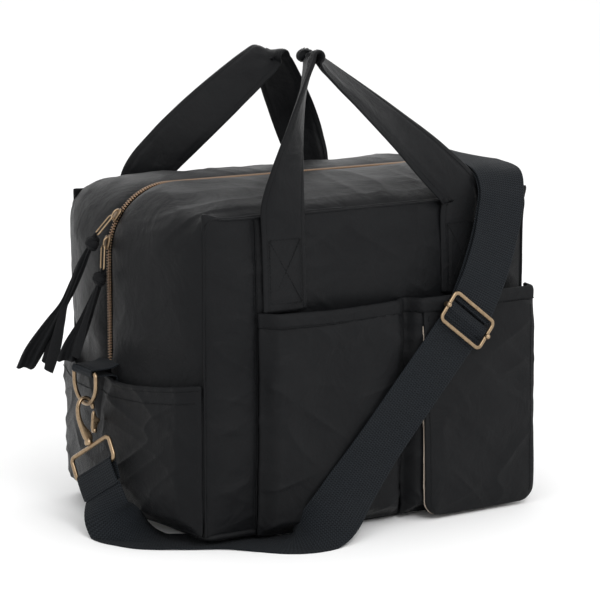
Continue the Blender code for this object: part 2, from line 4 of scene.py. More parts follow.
import bmesh
import bpy
import numpy as np
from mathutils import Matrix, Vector

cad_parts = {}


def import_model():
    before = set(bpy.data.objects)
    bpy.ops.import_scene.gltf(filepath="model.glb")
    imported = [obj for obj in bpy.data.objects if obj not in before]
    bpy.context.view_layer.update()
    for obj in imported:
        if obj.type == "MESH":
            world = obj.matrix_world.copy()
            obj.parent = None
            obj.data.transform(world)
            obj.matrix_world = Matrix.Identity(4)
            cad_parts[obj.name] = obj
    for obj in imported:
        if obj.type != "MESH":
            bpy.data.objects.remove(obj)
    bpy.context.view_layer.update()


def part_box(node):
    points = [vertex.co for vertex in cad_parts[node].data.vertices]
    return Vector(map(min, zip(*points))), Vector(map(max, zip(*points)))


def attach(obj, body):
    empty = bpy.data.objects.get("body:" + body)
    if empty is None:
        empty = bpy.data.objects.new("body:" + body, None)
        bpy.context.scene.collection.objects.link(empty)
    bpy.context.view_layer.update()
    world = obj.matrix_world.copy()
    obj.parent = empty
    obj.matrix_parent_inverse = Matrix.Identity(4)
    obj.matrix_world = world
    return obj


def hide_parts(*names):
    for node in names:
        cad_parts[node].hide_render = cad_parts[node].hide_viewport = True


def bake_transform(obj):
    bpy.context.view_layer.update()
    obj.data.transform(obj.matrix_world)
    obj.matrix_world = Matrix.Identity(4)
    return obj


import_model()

# The bag's own dimensions in metres, as in its CAD model
HALF_W = 0.1775
HALF_D = 0.125
HEIGHT = 0.300
BASE_T = 0.012
FRONT_BULGE = 0.008
END_BULGE = 0.028
TOP_BULGE = 0.018
END_TUCK = 0.024
TUCK_Z = 0.060
EDGE_R = 0.012
CROWN_R = 0.062
CORNER_LIFT = 0.0052
CORNER_LIFT_REACH = 0.125

# The zip, the pockets and the flap
ZIP_END_Z = 0.155
ZIP_GAP = 0.0090
POCKET_TOP = 0.212
HEM_H = 0.012
POCKET_LEFT_X = -0.125
POCKET_SPLIT_X = 0.031
POCKET_RIGHT_X = 0.1762
POCKET_PLANE = 0.1415
FLAP_POCKET_PLANE = 0.1438
POCKET_BOTTOM = 0.006
SEAM_RUN = 0.014
FLAP_LEFT_X = 0.046
FLAP_RIGHT_X = 0.173
FLAP_TOP = 0.1993
FLAP_BOTTOM = 0.004
FLAP_Y = -0.1490
SIDE_POCKET_TOP = 0.140

# The handles and the strap
HANDLE_W = 0.045
HANDLE_X = 0.0985
HANDLE_FOLD_Z = 0.3020
HANDLE_Y = HALF_D + 0.0045
PATCH_BOTTOM = 0.2145
STRAP_W = 0.050
STRAP_T = 0.0014
LAYER_STEP = 0.0038

# Thicknesses, and how the padding rises from a seam
PANEL_T = 0.003
POCKET_T = 0.0024
HEM_T = 0.0030
SEAM_INSET = 0.0028
PUFF_REACH = 0.011
SEAM_POINTS = 260
RIM_STEPS = 3

# One block of random numbers, drawn once, that every fold and wrinkle is read from
SEED = 7
rng = np.random.default_rng(SEED)
LATTICE = rng.uniform(-1, 1, (32, 32, 32))


# ---------------------------------------------------------------- camera, floor and light

def aim(item, target):
    item.rotation_euler = (Vector(target) - item.location).to_track_quat("-Z", "Y").to_euler()


def make_camera():
    data = bpy.data.cameras.new("camera")
    data.lens = 148.4
    data.sensor_width = 36.0
    camera = bpy.data.objects.new("camera", data)
    bpy.context.scene.collection.objects.link(camera)
    camera.location = (-1.2777, -1.9809, 0.6214)
    aim(camera, camera.location + Vector((0.5343, 0.8261, -0.1788)))
    bpy.context.scene.camera = camera


def area_light(name, place, target, size, power):
    data = bpy.data.lights.new(name, "AREA")
    data.shape = "DISK"
    data.size = size
    data.energy = power
    light = bpy.data.objects.new(name, data)
    bpy.context.scene.collection.objects.link(light)
    light.location = place
    aim(light, target)


def make_studio():
    scene = bpy.context.scene
    scene.view_settings.view_transform = "Standard"
    world = bpy.data.worlds.new("studio")
    scene.world = world
    world.use_nodes = True
    world.node_tree.nodes["Background"].inputs["Color"].default_value = (1.0, 1.0, 1.0, 1.0)
    world.node_tree.nodes["Background"].inputs["Strength"].default_value = 1.12
    bpy.ops.mesh.primitive_plane_add(size=80.0)
    floor = bpy.context.object
    floor.name = "floor"
    shade = bpy.data.materials.new("floor")
    shade.use_nodes = True
    shader = shade.node_tree.nodes["Principled BSDF"]
    shader.inputs["Base Color"].default_value = (0.90, 0.90, 0.90, 1.0)
    shader.inputs["Roughness"].default_value = 0.9
    shader.inputs["Specular IOR Level"].default_value = 0.1
    floor.data.materials.append(shade)
    middle = (0.0, 0.0, 0.17)
    area_light("key", (-0.5, -2.2, 1.9), middle, 1.0, 24)
    area_light("fill", (1.9, -1.7, 1.1), middle, 1.4, 6)
    area_light("rim", (0.6, 1.9, 1.9), middle, 1.3, 5)
    area_light("top", (0.1, -0.2, 2.4), middle, 1.5, 5)


# ---------------------------------------------------------------- materials

def principled(name, roughness, metallic=0.0, specular=0.5):
    mat = bpy.data.materials.new(name)
    mat.use_nodes = True
    shader = mat.node_tree.nodes["Principled BSDF"]
    shader.inputs["Roughness"].default_value = roughness
    shader.inputs["Metallic"].default_value = metallic
    shader.inputs["Specular IOR Level"].default_value = specular
    return mat, mat.node_tree, shader


def add_node(tree, kind, **settings):
    node = tree.nodes.new(kind)
    for key, value in settings.items():
        if key in node.inputs:
            node.inputs[key].default_value = value
        else:
            setattr(node, key, value)
    return node


def noise_node(tree, scale, detail=3.0, roughness=0.5, coords=None):
    node = add_node(tree, "ShaderNodeTexNoise", Scale=scale, Detail=detail, Roughness=roughness)
    if coords is not None:
        tree.links.new(coords, node.inputs["Vector"])
    return node


def mix_colour(tree, factor, low, high):
    node = tree.nodes.new("ShaderNodeMix")
    node.data_type = "RGBA"
    tree.links.new(factor, node.inputs[0])
    for socket, value in ((node.inputs[6], low), (node.inputs[7], high)):
        if hasattr(value, "is_linked"):
            tree.links.new(value, socket)
        else:
            socket.default_value = (*value, 1.0)
    return node.outputs[2]


def remap(tree, value, low, high, from_low=0.3, from_high=0.7):
    node = add_node(tree, "ShaderNodeMapRange")
    for socket, number in zip(node.inputs[1:5], (from_low, from_high, low, high)):
        socket.default_value = number
    tree.links.new(value, node.inputs[0])
    return node.outputs[0]


def math_node(tree, operation, first, second):
    node = add_node(tree, "ShaderNodeMath", operation=operation)
    for socket, value in zip(node.inputs, (first, second)):
        if hasattr(value, "is_linked"):
            tree.links.new(value, socket)
        else:
            socket.default_value = value
    return node.outputs[0]


def bump(tree, shader, height, strength, distance, before=None):
    node = add_node(tree, "ShaderNodeBump", Strength=strength, Distance=distance)
    tree.links.new(height, node.inputs["Height"])
    if before is not None:
        tree.links.new(before, node.inputs["Normal"])
    tree.links.new(node.outputs[0], shader.inputs["Normal"])
    return node.outputs[0]


def weave(tree, coords, pitch, lean=0.0):
    """A woven height: warp and weft threads of the given pitch, in the cloth's own metres."""
    heights = []
    for turn in (lean, lean + math.pi / 2):
        turned = add_node(tree, "ShaderNodeVectorRotate", rotation_type="Z_AXIS")
        turned.inputs["Angle"].default_value = turn
        tree.links.new(coords, turned.inputs["Vector"])
        wave = add_node(tree, "ShaderNodeTexWave", Scale=1.0 / pitch / 3.18, Distortion=0.6, Detail=1.0)
        tree.links.new(turned.outputs[0], wave.inputs["Vector"])
        heights.append(wave.outputs["Fac"])
    return math_node(tree, "MULTIPLY", heights[0], heights[1])


def cloth_material(name, dark, light, rough, pitch, strength, sheen=0.01, specular=0.09, crease=0.25):
    """Woven cloth: threads, fine creases, colour that varies a little, and a soft sheen."""
    mat, tree, shader = principled(name, sum(rough) / 2, specular=specular)
    uv = add_node(tree, "ShaderNodeUVMap").outputs[0]
    solid = add_node(tree, "ShaderNodeTexCoord").outputs["Object"]
    patches = noise_node(tree, 14.0, 4.0, 0.6, solid)
    fibres = noise_node(tree, 900.0, 2.0, 0.6, solid)
    blend = math_node(tree, "ADD", math_node(tree, "MULTIPLY", patches.outputs["Fac"], 0.6),
                      math_node(tree, "MULTIPLY", fibres.outputs["Fac"], 0.4))
    colour = mix_colour(tree, remap(tree, blend, 0.0, 1.0, 0.35, 0.65), dark, light)
    tree.links.new(colour, shader.inputs["Base Color"])
    tree.links.new(remap(tree, patches.outputs["Fac"], *rough), shader.inputs["Roughness"])
    shader.inputs["Sheen Weight"].default_value = sheen
    shader.inputs["Sheen Roughness"].default_value = 0.45
    creases = noise_node(tree, 90.0, 5.0, 0.62, solid)
    rumples = noise_node(tree, 24.0, 4.0, 0.55, solid)
    rumples.inputs["Distortion"].default_value = 0.8
    broad = bump(tree, shader, rumples.outputs["Fac"], 0.45, 0.006)
    first = bump(tree, shader, creases.outputs["Fac"], crease, 0.002, broad)
    bump(tree, shader, weave(tree, uv, pitch), strength, 0.0003, first)
    return mat


def webbing_material(name, dark, light):
    """Heavy webbing: close ribs across the band and lengthwise cords, with painted shade in the grooves
    between them.
    """
    mat, tree, shader = principled(name, 0.7, specular=0.10)
    uv = add_node(tree, "ShaderNodeUVMap").outputs[0]
    solid = add_node(tree, "ShaderNodeTexCoord").outputs["Object"]
    split = add_node(tree, "ShaderNodeSeparateXYZ")
    tree.links.new(uv, split.inputs[0])
    across, along = split.outputs[0], split.outputs[1]
    cords = math_node(tree, "SINE", math_node(tree, "MULTIPLY", across, 2 * math.pi / 0.0027), 0.0)
    zigzag = math_node(tree, "PINGPONG", across, 0.00135)
    slanted = math_node(tree, "ADD", along, math_node(tree, "MULTIPLY", zigzag, 0.9))
    ribs = math_node(tree, "SINE", math_node(tree, "MULTIPLY", slanted, 2 * math.pi / 0.0023), 0.0)
    height = math_node(tree, "ADD", math_node(tree, "MULTIPLY", cords, 0.35), ribs)
    fibres = noise_node(tree, 700.0, 3.0, 0.7, solid)
    patches = noise_node(tree, 20.0, 3.0, 0.6, solid)
    faded = math_node(tree, "MULTIPLY", patches.outputs["Fac"], 0.4)
    # Colour: painted shade, darker in the grooves between ribs and cords and lighter on their raised tops,
    # mixed with fibre specks and faded patches that vary at random.
    rib_shade_and_tone = math_node(tree, "ADD", math_node(tree, "MULTIPLY", height, 0.42),
                     math_node(tree, "ADD", fibres.outputs["Fac"], faded))
    colour = mix_colour(tree, remap(tree, rib_shade_and_tone, 0.0, 1.0, 0.25, 1.25), dark, light)
    tree.links.new(colour, shader.inputs["Base Color"])
    tree.links.new(remap(tree, patches.outputs["Fac"], 0.62, 0.85), shader.inputs["Roughness"])
    shader.inputs["Sheen Weight"].default_value = 0.02
    shader.inputs["Sheen Roughness"].default_value = 0.5
    first = bump(tree, shader, height, 0.75, 0.00035)
    bump(tree, shader, fibres.outputs["Fac"], 0.3, 0.0004, first)
    return mat


def metal_material(name, dark, light, rough):
    """Aged metal: brown in the hollows, brighter on the rubbed edges, faint casting marks."""
    mat, tree, shader = principled(name, sum(rough) / 2, metallic=1.0)
    solid = add_node(tree, "ShaderNodeTexCoord").outputs["Object"]
    patina = noise_node(tree, 260.0, 4.0, 0.65, solid)
    edges = add_node(tree, "ShaderNodeNewGeometry").outputs["Pointiness"]
    worn = remap(tree, edges, 0.0, 0.6, 0.48, 0.60)
    share = math_node(tree, "ADD", math_node(tree, "MULTIPLY", patina.outputs["Fac"], 0.7), worn)
    colour = mix_colour(tree, remap(tree, share, 0.0, 1.0, 0.2, 0.8), dark, light)
    tree.links.new(colour, shader.inputs["Base Color"])
    tree.links.new(remap(tree, patina.outputs["Fac"], *rough), shader.inputs["Roughness"])
    scratches = noise_node(tree, 1400.0, 2.0, 0.7, solid)
    first = bump(tree, shader, patina.outputs["Fac"], 0.15, 0.0005)
    bump(tree, shader, scratches.outputs["Fac"], 0.08, 0.0002, first)
    return mat


NYLON = cloth_material("nylon", (0.0042, 0.0045, 0.0052), (0.0078, 0.0081, 0.0088),
                       (0.36, 0.50), 0.00042, 0.30)
HEM = cloth_material("nylon_hem", (0.0040, 0.0043, 0.0050), (0.0072, 0.0075, 0.0082),
                     (0.40, 0.55), 0.00042, 0.35)
RIBBON = cloth_material("nylon_ribbon", (0.0038, 0.0041, 0.0048), (0.0070, 0.0073, 0.0080),
                        (0.50, 0.68), 0.0005, 0.5)
LINING = cloth_material("lining", (0.30, 0.245, 0.20), (0.46, 0.39, 0.32),
                        (0.75, 0.9), 0.0006, 0.6, 0.05, 0.2)
TAPE = cloth_material("zip_tape", (0.0040, 0.0044, 0.0052), (0.0080, 0.0086, 0.0096),
                      (0.7, 0.85), 0.0009, 0.8, 0.01, 0.1)
THREAD = cloth_material("thread", (0.0045, 0.0048, 0.0055), (0.0090, 0.0094, 0.0100),
                        (0.45, 0.6), 0.0003, 0.5, 0.01)
WEBBING = webbing_material("webbing", (0.0020, 0.0028, 0.0040), (0.0135, 0.0165, 0.0200))
BRASS = metal_material("antique_brass", (0.13, 0.088, 0.052), (0.36, 0.262, 0.165), (0.24, 0.42))
TEETH = metal_material("zip_teeth", (0.085, 0.050, 0.030), (0.27, 0.175, 0.110), (0.28, 0.42))


# ---------------------------------------------------------------- numbers and noise

def step(value, low, high):
    t = np.clip((value - low) / (high - low), 0.0, 1.0)
    return t * t * (3 - 2 * t)


def hump(value, centre, width):
    return np.exp(-((value - centre) / width) ** 2)


def swell(t):
    return np.clip(1 - t ** 2, 0.0, None)


def noise(a, b, c=0.0):
    """Smooth noise from -1 to 1 at the given lattice coordinates."""
    points = np.stack(np.broadcast_arrays(np.asarray(a, float), b, c), -1)
    cell = np.floor(points).astype(int)
    f = points - cell
    f = f ** 3 * (f * (f * 6 - 15) + 10)
    total = 0.0
    for corner in itertools.product((0, 1), repeat=3):
        weight = 1.0
        for axis in range(3):
            weight = weight * (f[..., axis] if corner[axis] else 1 - f[..., axis])
        index = tuple((cell[..., axis] + corner[axis]) % 32 for axis in range(3))
        total = total + weight * LATTICE[index]
    return total


def folds(a, b, long, short, seed, sharp=3.0):
    """Soft creases about short apart that run along a for about long; 0 to 1."""
    bent = b + 0.5 * short * noise(a / long * 0.8, b / short * 0.35, seed + 0.5)
    ridge = 1 - np.abs(noise(a / long, bent / short, seed))
    return ridge ** sharp


def puckers(along, away, pitch, reach, seed):
    """Gathers along a seam: they start at it and fade with distance."""
    wave = noise(along / pitch, away / (reach * 2.5), seed)
    fine = 0.5 * noise(along / pitch * 2.1, away / reach, seed + 3.3)
    return (wave + fine) * np.exp(-away / reach)


def puff(distance, reach=PUFF_REACH):
    """Padding that rises from a seam, 0 at the seam and 1 well away from it."""
    return 1 - np.exp(-np.clip(distance, 0.0, None) / reach)


# ---------------------------------------------------------------- mesh helpers

def unit(vectors):
    """Vectors scaled to length 1."""
    return vectors / np.maximum(np.linalg.norm(vectors, axis=-1, keepdims=True), 1e-12)


def grid_normals(points):
    """The direction out of a grid of points, at each point."""
    return unit(np.cross(np.gradient(points, axis=0), np.gradient(points, axis=1)))


def build(name, parts, mat):
    """One object from (points, faces, uvs) parts; a part's uvs are one pair a point, or None."""
    points = np.concatenate([part[0] for part in parts])
    faces = []
    start = 0
    for part in parts:
        faces += [[start + i for i in face] for face in part[1]]
        start += len(part[0])
    mesh = bpy.data.meshes.new(name)
    mesh.from_pydata(points.tolist(), [], faces)
    uvs = np.concatenate([part[2] if part[2] is not None else part[0][:, :2] for part in parts])
    layer = mesh.uv_layers.new(name="UVMap")
    corners = np.zeros(len(mesh.loops), int)
    mesh.loops.foreach_get("vertex_index", corners)
    layer.data.foreach_set("uv", uvs[corners].astype(np.float32).ravel())
    mesh.materials.append(mat)
    mesh.polygons.foreach_set("use_smooth", [True] * len(mesh.polygons))
    mesh.update()
    item = bpy.data.objects.new(name, mesh)
    bpy.context.scene.collection.objects.link(item)
    return item


def place(piece, body, slot, *nodes):
    """Says which body a piece rides and the nodes that it replaces; slot is not used."""
    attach(piece, body)
    if nodes:
        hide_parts(*nodes)
    return piece


def lengths(points):
    """How far along a line each of its points is."""
    return np.concatenate([[0.0], np.cumsum(np.linalg.norm(np.diff(points, axis=0), axis=1))])


def metres(points):
    """Cloth coordinates in metres, from the lengths of the grid's middle lines."""
    u = lengths(points[:, points.shape[1] // 2])
    v = lengths(points[points.shape[0] // 2])
    return np.stack(np.meshgrid(u, v, indexing="ij"), -1)


def shell(points, thickness, back=0.0):
    """A closed sheet: points are its outer face, and its rim is rounded."""
    columns, rows = points.shape[0] - 1, points.shape[1] - 1
    normals = grid_normals(points)
    back = np.broadcast_to(np.asarray(back, float), points.shape[:2])[..., None]
    inner = points - normals * (thickness + back)
    uv = metres(points)
    index = np.arange((columns + 1) * (rows + 1)).reshape(columns + 1, rows + 1)
    quads = np.stack([index[:-1, :-1], index[1:, :-1], index[1:, 1:], index[:-1, 1:]], -1).reshape(-1, 4)
    count = index.size
    loop = [(i, 0) for i in range(columns)] + [(columns, j) for j in range(rows)]
    loop += [(i, rows) for i in range(columns, 0, -1)] + [(0, j) for j in range(rows, 0, -1)]
    i, j = np.array(loop).T
    inside_i, inside_j = np.clip(i, 1, columns - 1), np.clip(j, 1, rows - 1)
    outward = unit(points[i, j] - points[inside_i, inside_j])
    middle = (points[i, j] + inner[i, j]) / 2
    half = (points[i, j] - inner[i, j]) / 2
    radius = np.linalg.norm(half, axis=1, keepdims=True)
    layers = [index[i, j]]
    extra, extra_uv = [], []
    for k in range(1, RIM_STEPS + 1):
        angle = math.pi * k / (RIM_STEPS + 1)
        extra.append(middle + half * math.cos(angle) + outward * radius * math.sin(angle))
        extra_uv.append(uv[i, j])
        layers.append(2 * count + (k - 1) * len(i) + np.arange(len(i)))
    layers.append(count + index[i, j])
    faces = quads.tolist() + (quads[:, ::-1] + count).tolist()
    for above, below in zip(layers[:-1], layers[1:]):
        ahead_above, ahead_below = np.roll(above, -1), np.roll(below, -1)
        faces += np.stack([above, below, ahead_below, ahead_above], -1).tolist()
    flat = uv.reshape(-1, 2)
    everything = np.concatenate([points.reshape(-1, 3), inner.reshape(-1, 3), *extra])
    return everything, faces, np.concatenate([flat, flat, *extra_uv])


def weld(item):
    """Joins the seam and the poles of a surface that closes on itself."""
    work = bmesh.new()
    work.from_mesh(item.data)
    bmesh.ops.remove_doubles(work, verts=work.verts, dist=0.00001)
    bmesh.ops.recalc_face_normals(work, faces=work.faces)
    work.to_mesh(item.data)
    work.free()


def mesh_grid(columns, rows):
    """Two grids of shares from 0 to 1, across and up."""
    return np.meshgrid(np.linspace(0, 1, columns + 1), np.linspace(0, 1, rows + 1), indexing="ij")


def raised(points, relief):
    """Moves a grid along its normals by relief."""
    return points + grid_normals(points) * np.asarray(relief)[..., None]


def tube(points, radius, sides=10, closed=False, squash=1.0, up=None):
    """A round bar along points; open ones get domed ends."""
    points = np.asarray(points, float)
    count = len(points)
    radii = np.broadcast_to(np.asarray(radius, float), (count,)).copy()
    if closed:
        ahead = unit(np.roll(points, -1, 0) - np.roll(points, 1, 0))
    else:
        ahead = unit(np.gradient(points, axis=0))
        dome = 3
        turns = [math.pi / 2 * k / dome for k in range(1, dome + 1)]
        head = [points[0] - ahead[0] * radii[0] * math.sin(a) for a in turns[::-1]]
        tail = [points[-1] + ahead[-1] * radii[-1] * math.sin(a) for a in turns]
        fade = [math.cos(a) + 0.02 for a in turns]
        radii = np.concatenate([[radii[0] * f for f in fade[::-1]], radii, [radii[-1] * f for f in fade]])
        points = np.concatenate([head, points, tail])
        ahead = np.concatenate([[ahead[0]] * dome, ahead, [ahead[-1]] * dome])
        count = len(points)
    side = np.zeros_like(points)
    guide = np.array(up if up is not None else (0.0, 0.0, 1.0), float)
    if up is None and abs(ahead[0] @ guide) > 0.9:
        guide = np.array((0.0, 1.0, 0.0))
    for k in range(count):
        guide = guide - ahead[k] * (guide @ ahead[k])
        guide = guide / max(np.linalg.norm(guide), 1e-9)
        side[k] = guide
        if up is not None:
            guide = np.array(up, float)
    other = np.cross(ahead, side)
    angles = np.arange(sides) * 2 * math.pi / sides
    cosines, sines = np.cos(angles)[None, :, None], np.sin(angles)[None, :, None]
    ring = cosines * side[:, None] * squash + sines * other[:, None]
    verts = (points[:, None] + ring * radii[:, None, None]).reshape(-1, 3)
    index = np.arange(count * sides).reshape(count, sides)
    if closed:
        nxt = np.roll(index, -1, 0)
    else:
        nxt, index = index[1:], index[:-1]
    faces = np.stack([index, np.roll(index, -1, 1), np.roll(nxt, -1, 1), nxt], -1).reshape(-1, 4).tolist()
    if not closed:
        faces.append(list(range(sides))[::-1])
        faces.append([(count - 1) * sides + k for k in range(sides)])
    return verts, faces, None


def stacked_faces(sides, levels):
    """Faces of a solid made of rings of points, one above another, closed at both ends."""
    faces = []
    for level in range(levels - 1):
        low, high = sides * level, sides * (level + 1)
        faces += [[low + i, low + (i + 1) % sides, high + (i + 1) % sides, high + i] for i in range(sides)]
    return faces + [list(range(sides))[::-1], [sides * (levels - 1) + i for i in range(sides)]]


def along(points, spacing):
    """Evenly spaced points on a line, with the direction there."""
    points = np.asarray(points, float)
    run = lengths(points)
    count = max(2, int(round(run[-1] / spacing)) + 1)
    places = np.linspace(0, run[-1], count)
    spots = np.stack([np.interp(places, run, points[:, k]) for k in range(3)], -1)
    return spots, unit(np.gradient(spots, axis=0))


def stitches(lines, out, pitch=0.0034, length=0.0024, radius=0.00032):
    """Rows of sewn stitches along lines; out lifts them off the cloth."""
    parts = []
    for line in lines:
        spots, ahead = along(line, pitch)
        for spot, direction in zip(spots[:-1], ahead[:-1]):
            start = spot + direction * pitch * 0.15
            lift = np.asarray(out, float)
            path = [start, start + direction * length / 2 + lift * radius, start + direction * length]
            parts.append(tube(path, [radius * 0.7, radius, radius * 0.7], 6))
    return parts


def catmull(keys, count):
    """A smooth line through keys, as many points as asked."""
    keys = np.asarray(keys, float)
    t = np.linspace(0, len(keys) - 1, count)
    cell = np.minimum(t.astype(int), len(keys) - 2)
    f = (t - cell)[:, None]
    before, here = keys[np.maximum(cell - 1, 0)], keys[cell]
    there, after = keys[cell + 1], keys[np.minimum(cell + 2, len(keys) - 1)]
    return 0.5 * (2 * here + (there - before) * f + (2 * before - 5 * here + 4 * there - after) * f ** 2
                  + (3 * here - before - 3 * there + after) * f ** 3)


def band_grid(stations, width, columns, rows, shift=0.0, floor=None):
    """A flat band's middle surface along stations of a centre and a width direction."""
    centres = catmull([s[0] for s in stations], rows + 1)
    sides = unit(catmull([s[1] for s in stations], rows + 1))
    ahead = unit(np.gradient(centres, axis=0))
    share = np.linspace(0, 1, rows + 1)
    square = np.minimum(1.0, np.minimum(share, 1 - share) / 0.08)[:, None]
    sides = unit(sides - ahead * (sides * ahead).sum(1, keepdims=True) * square)
    up = unit(np.cross(ahead, sides))
    across = np.linspace(-0.5, 0.5, columns + 1)
    points = centres[None] + sides[None] * (across[:, None, None] * width)
    points = points + up[None] * shift
    if floor is not None:
        points[..., 2] = np.maximum(points[..., 2], floor)
    return points


def rounded_rectangle(width, height, radius, steps=6):
    x, y = width / 2 - radius, height / 2 - radius
    points = []
    for cx, cy, turn in ((x, y, 0), (-x, y, 90), (-x, -y, 180), (x, -y, 270)):
        for k in range(steps + 1):
            angle = math.radians(turn + 90 * k / steps)
            points.append((cx + radius * math.cos(angle), cy + radius * math.sin(angle)))
    return points


# ---------------------------------------------------------------- body

def front_y(x, z):
    """How far the front or back stands from the middle of the bag."""
    return HALF_D + FRONT_BULGE * swell(x / HALF_W) * swell((z - HEIGHT / 2) / (HEIGHT / 2))


def end_x(y, z):
    """How far an end stands from the middle of the bag."""
    middle = swell(y / HALF_D)
    tuck = END_TUCK * middle * np.clip(1 - z / TUCK_Z, 0, None) ** 2
    return HALF_W + END_BULGE * middle - tuck


def band_point(share, y, inset=0.0, start_z=BASE_T):
    """The band over the ends and the top, share from 0 (left base) to 1 (right base)."""
    share, y = np.broadcast_arrays(np.asarray(share, float), y)
    middle = swell(y / HALF_D)
    half = HALF_W + END_BULGE * middle - inset
    top = HEIGHT + TOP_BULGE * middle - inset
    radius = EDGE_R + (CROWN_R - EDGE_R) * middle ** 0.7 - inset
    mirror = np.where(share < 0.5, -1.0, 1.0)
    run = np.minimum(share, 1 - share) * 2
    end_share, corner_share = 0.42, 0.22
    z_end = start_z + (top - radius - start_z) * np.clip(run / end_share, 0, 1)
    tuck = END_TUCK * middle * np.clip(1 - z_end / TUCK_Z, 0, None) ** 2
    angle = np.clip((run - end_share) / corner_share, 0, 1) * math.pi / 2
    inward = np.clip((run - end_share - corner_share) / (1 - end_share - corner_share), 0, 1)
    x = np.where(run < end_share, half - tuck, half - radius + radius * np.cos(angle))
    x = np.where(inward > 0, (half - radius) * (1 - inward), x)
    z = np.where(run < end_share, z_end, top - radius + radius * np.sin(angle))
    return np.stack([mirror * x, y, z], -1)


def under_strap(x, z, line, reach):
    """1 well away from the strap's line across the front, 0 beneath it."""
    best = np.full(np.shape(x), 1e9)
    for (ax, az), (bx, bz) in zip(line[:-1], line[1:]):
        length = (bx - ax) ** 2 + (bz - az) ** 2
        t = np.clip(((x - ax) * (bx - ax) + (z - az) * (bz - az)) / length, 0, 1)
        best = np.minimum(best, np.hypot(x - ax - t * (bx - ax), z - az - t * (bz - az)))
    return step(best, STRAP_W / 2, STRAP_W / 2 + reach)


STRAP_LINE = [(-0.072, 0.020), (-0.038, 0.049), (0.026, 0.119), (0.088, 0.189), (0.131, 0.284), (0.142, 0.33)]


def eared(points):
    """The pinched ears where three seams meet at the top corners."""
    corner = np.array((HALF_W, HALF_D, HEIGHT)) - SEAM_INSET * 0.6
    reach = np.linalg.norm(np.abs(points) - corner, axis=-1)
    away = np.sign(points) * np.array((0.35, 0.55, 0.75))
    return points + away * (0.0075 * np.exp(-(reach / 0.012) ** 1.5) * (points[..., 1] < 0))[..., None]


def make_face(name, facing):
    """The front or back panel: padded, pinched at its seams, gathered along them."""
    u, v = mesh_grid(200, 170)
    x = (HALF_W - 0.0005) * (2 * u - 1)
    z = BASE_T + (HEIGHT - BASE_T) * v
    y = front_y(x, z) - SEAM_INSET
    points = np.stack([-facing * x, facing * y, z], -1)
    left, right = HALF_W + x, HALF_W - x
    if facing < 0:
        from_seams = np.abs(x - POCKET_LEFT_X)
        above_pockets = step(z, POCKET_TOP - 0.012, POCKET_TOP + 0.012)
        open_cloth = np.maximum(above_pockets, step(-x, 0.118, 0.128))
    else:
        from_seams = np.abs(np.abs(x) + POCKET_LEFT_X)
        open_cloth = np.ones_like(x)
    pad = puff(left) * puff(right) * puff(HEIGHT - z) * puff(z - BASE_T)
    pad = pad * (1 - 0.85 * np.exp(-from_seams / 0.005))
    relief = pad * (SEAM_INSET + 0.0022 * open_cloth)
    gathers = puckers(x, HEIGHT - z, 0.011, 0.016, 1.5) + puckers(x * 0.7, z - BASE_T, 0.013, 0.022, 2.5)
    gathers = gathers + puckers(z, left, 0.014, 0.014, 3.5) + puckers(z, right, 0.014, 0.014, 4.5)
    gathers = gathers + 0.8 * puckers(z, from_seams, 0.012, 0.012, 5.5)
    slack = folds(x + 0.35 * z, z - 0.3 * x, 0.11, 0.034, 6.5)
    slack = slack + 0.7 * folds(x - 0.6 * z, z + 0.5 * x, 0.08, 0.021, 7.5, 5.0)
    lumps = noise(x / 0.05, z / 0.04, 8.5)
    relief = relief + open_cloth * pad * (0.0015 * gathers + 0.0017 * (slack - 0.5) + 0.0014 * lumps)
    face = build(name + "_cloth", [shell(eared(raised(points, relief)), PANEL_T)], NYLON)
    place(face, "root", "nylon", name)


def band_relief(points, share, y, edge, inner):
    """Padding, gathers and folds of the band; edge and inner are distances from its two seams."""
    run = share * 1.15
    x, z = points[..., 0], points[..., 2]
    pad = puff(edge) * (0.12 + 0.88 * puff(inner, 0.016))
    gathers = puckers(run, edge, 0.012, 0.020, 11.5) + 0.6 * puckers(run, inner, 0.010, 0.010, 12.5)
    broad = folds(run, y, 0.05, 0.060, 13.5, 2.0) + 0.6 * folds(y + run * 0.6, run, 0.09, 0.045, 14.5, 3.0)
    lumps = noise(x / 0.06, y / 0.045, z / 0.06 + 15.5)
    end = step(np.abs(x), 0.12, 0.17)
    waist = hump(z, 0.158, 0.020) * end * step(np.abs(y), 0.012, 0.045)
    tab_reach = np.hypot(y, z - TAB_Z)
    rays = folds(tab_reach, np.arctan2(z - TAB_Z, np.abs(y) + 0.01) * 0.06, 0.12, 0.024, 16.5, 2.0) - 0.4
    ear_reach = np.sqrt((np.abs(x) - HALF_W) ** 2 + (np.abs(y) - HALF_D) ** 2 + (z - HEIGHT) ** 2)
    ear_turn = np.arctan2(HALF_D - np.abs(y), HEIGHT + 0.02 - z)
    sweep = folds(ear_reach, ear_turn * 0.10, 0.16, 0.026, 17.5, 2.5) - 0.35
    sweep = sweep * step(ear_reach, 0.0, 0.02) * np.exp(-ear_reach / 0.085)
    relief = pad * (SEAM_INSET + 0.0015 + 0.0010 * gathers + 0.0019 * (broad - 0.7) + 0.0013 * lumps)
    relief = relief + 0.0024 * rays * pad * end * np.exp(-tab_reach / 0.070)
    return relief - 0.0045 * waist + 0.0034 * sweep * pad


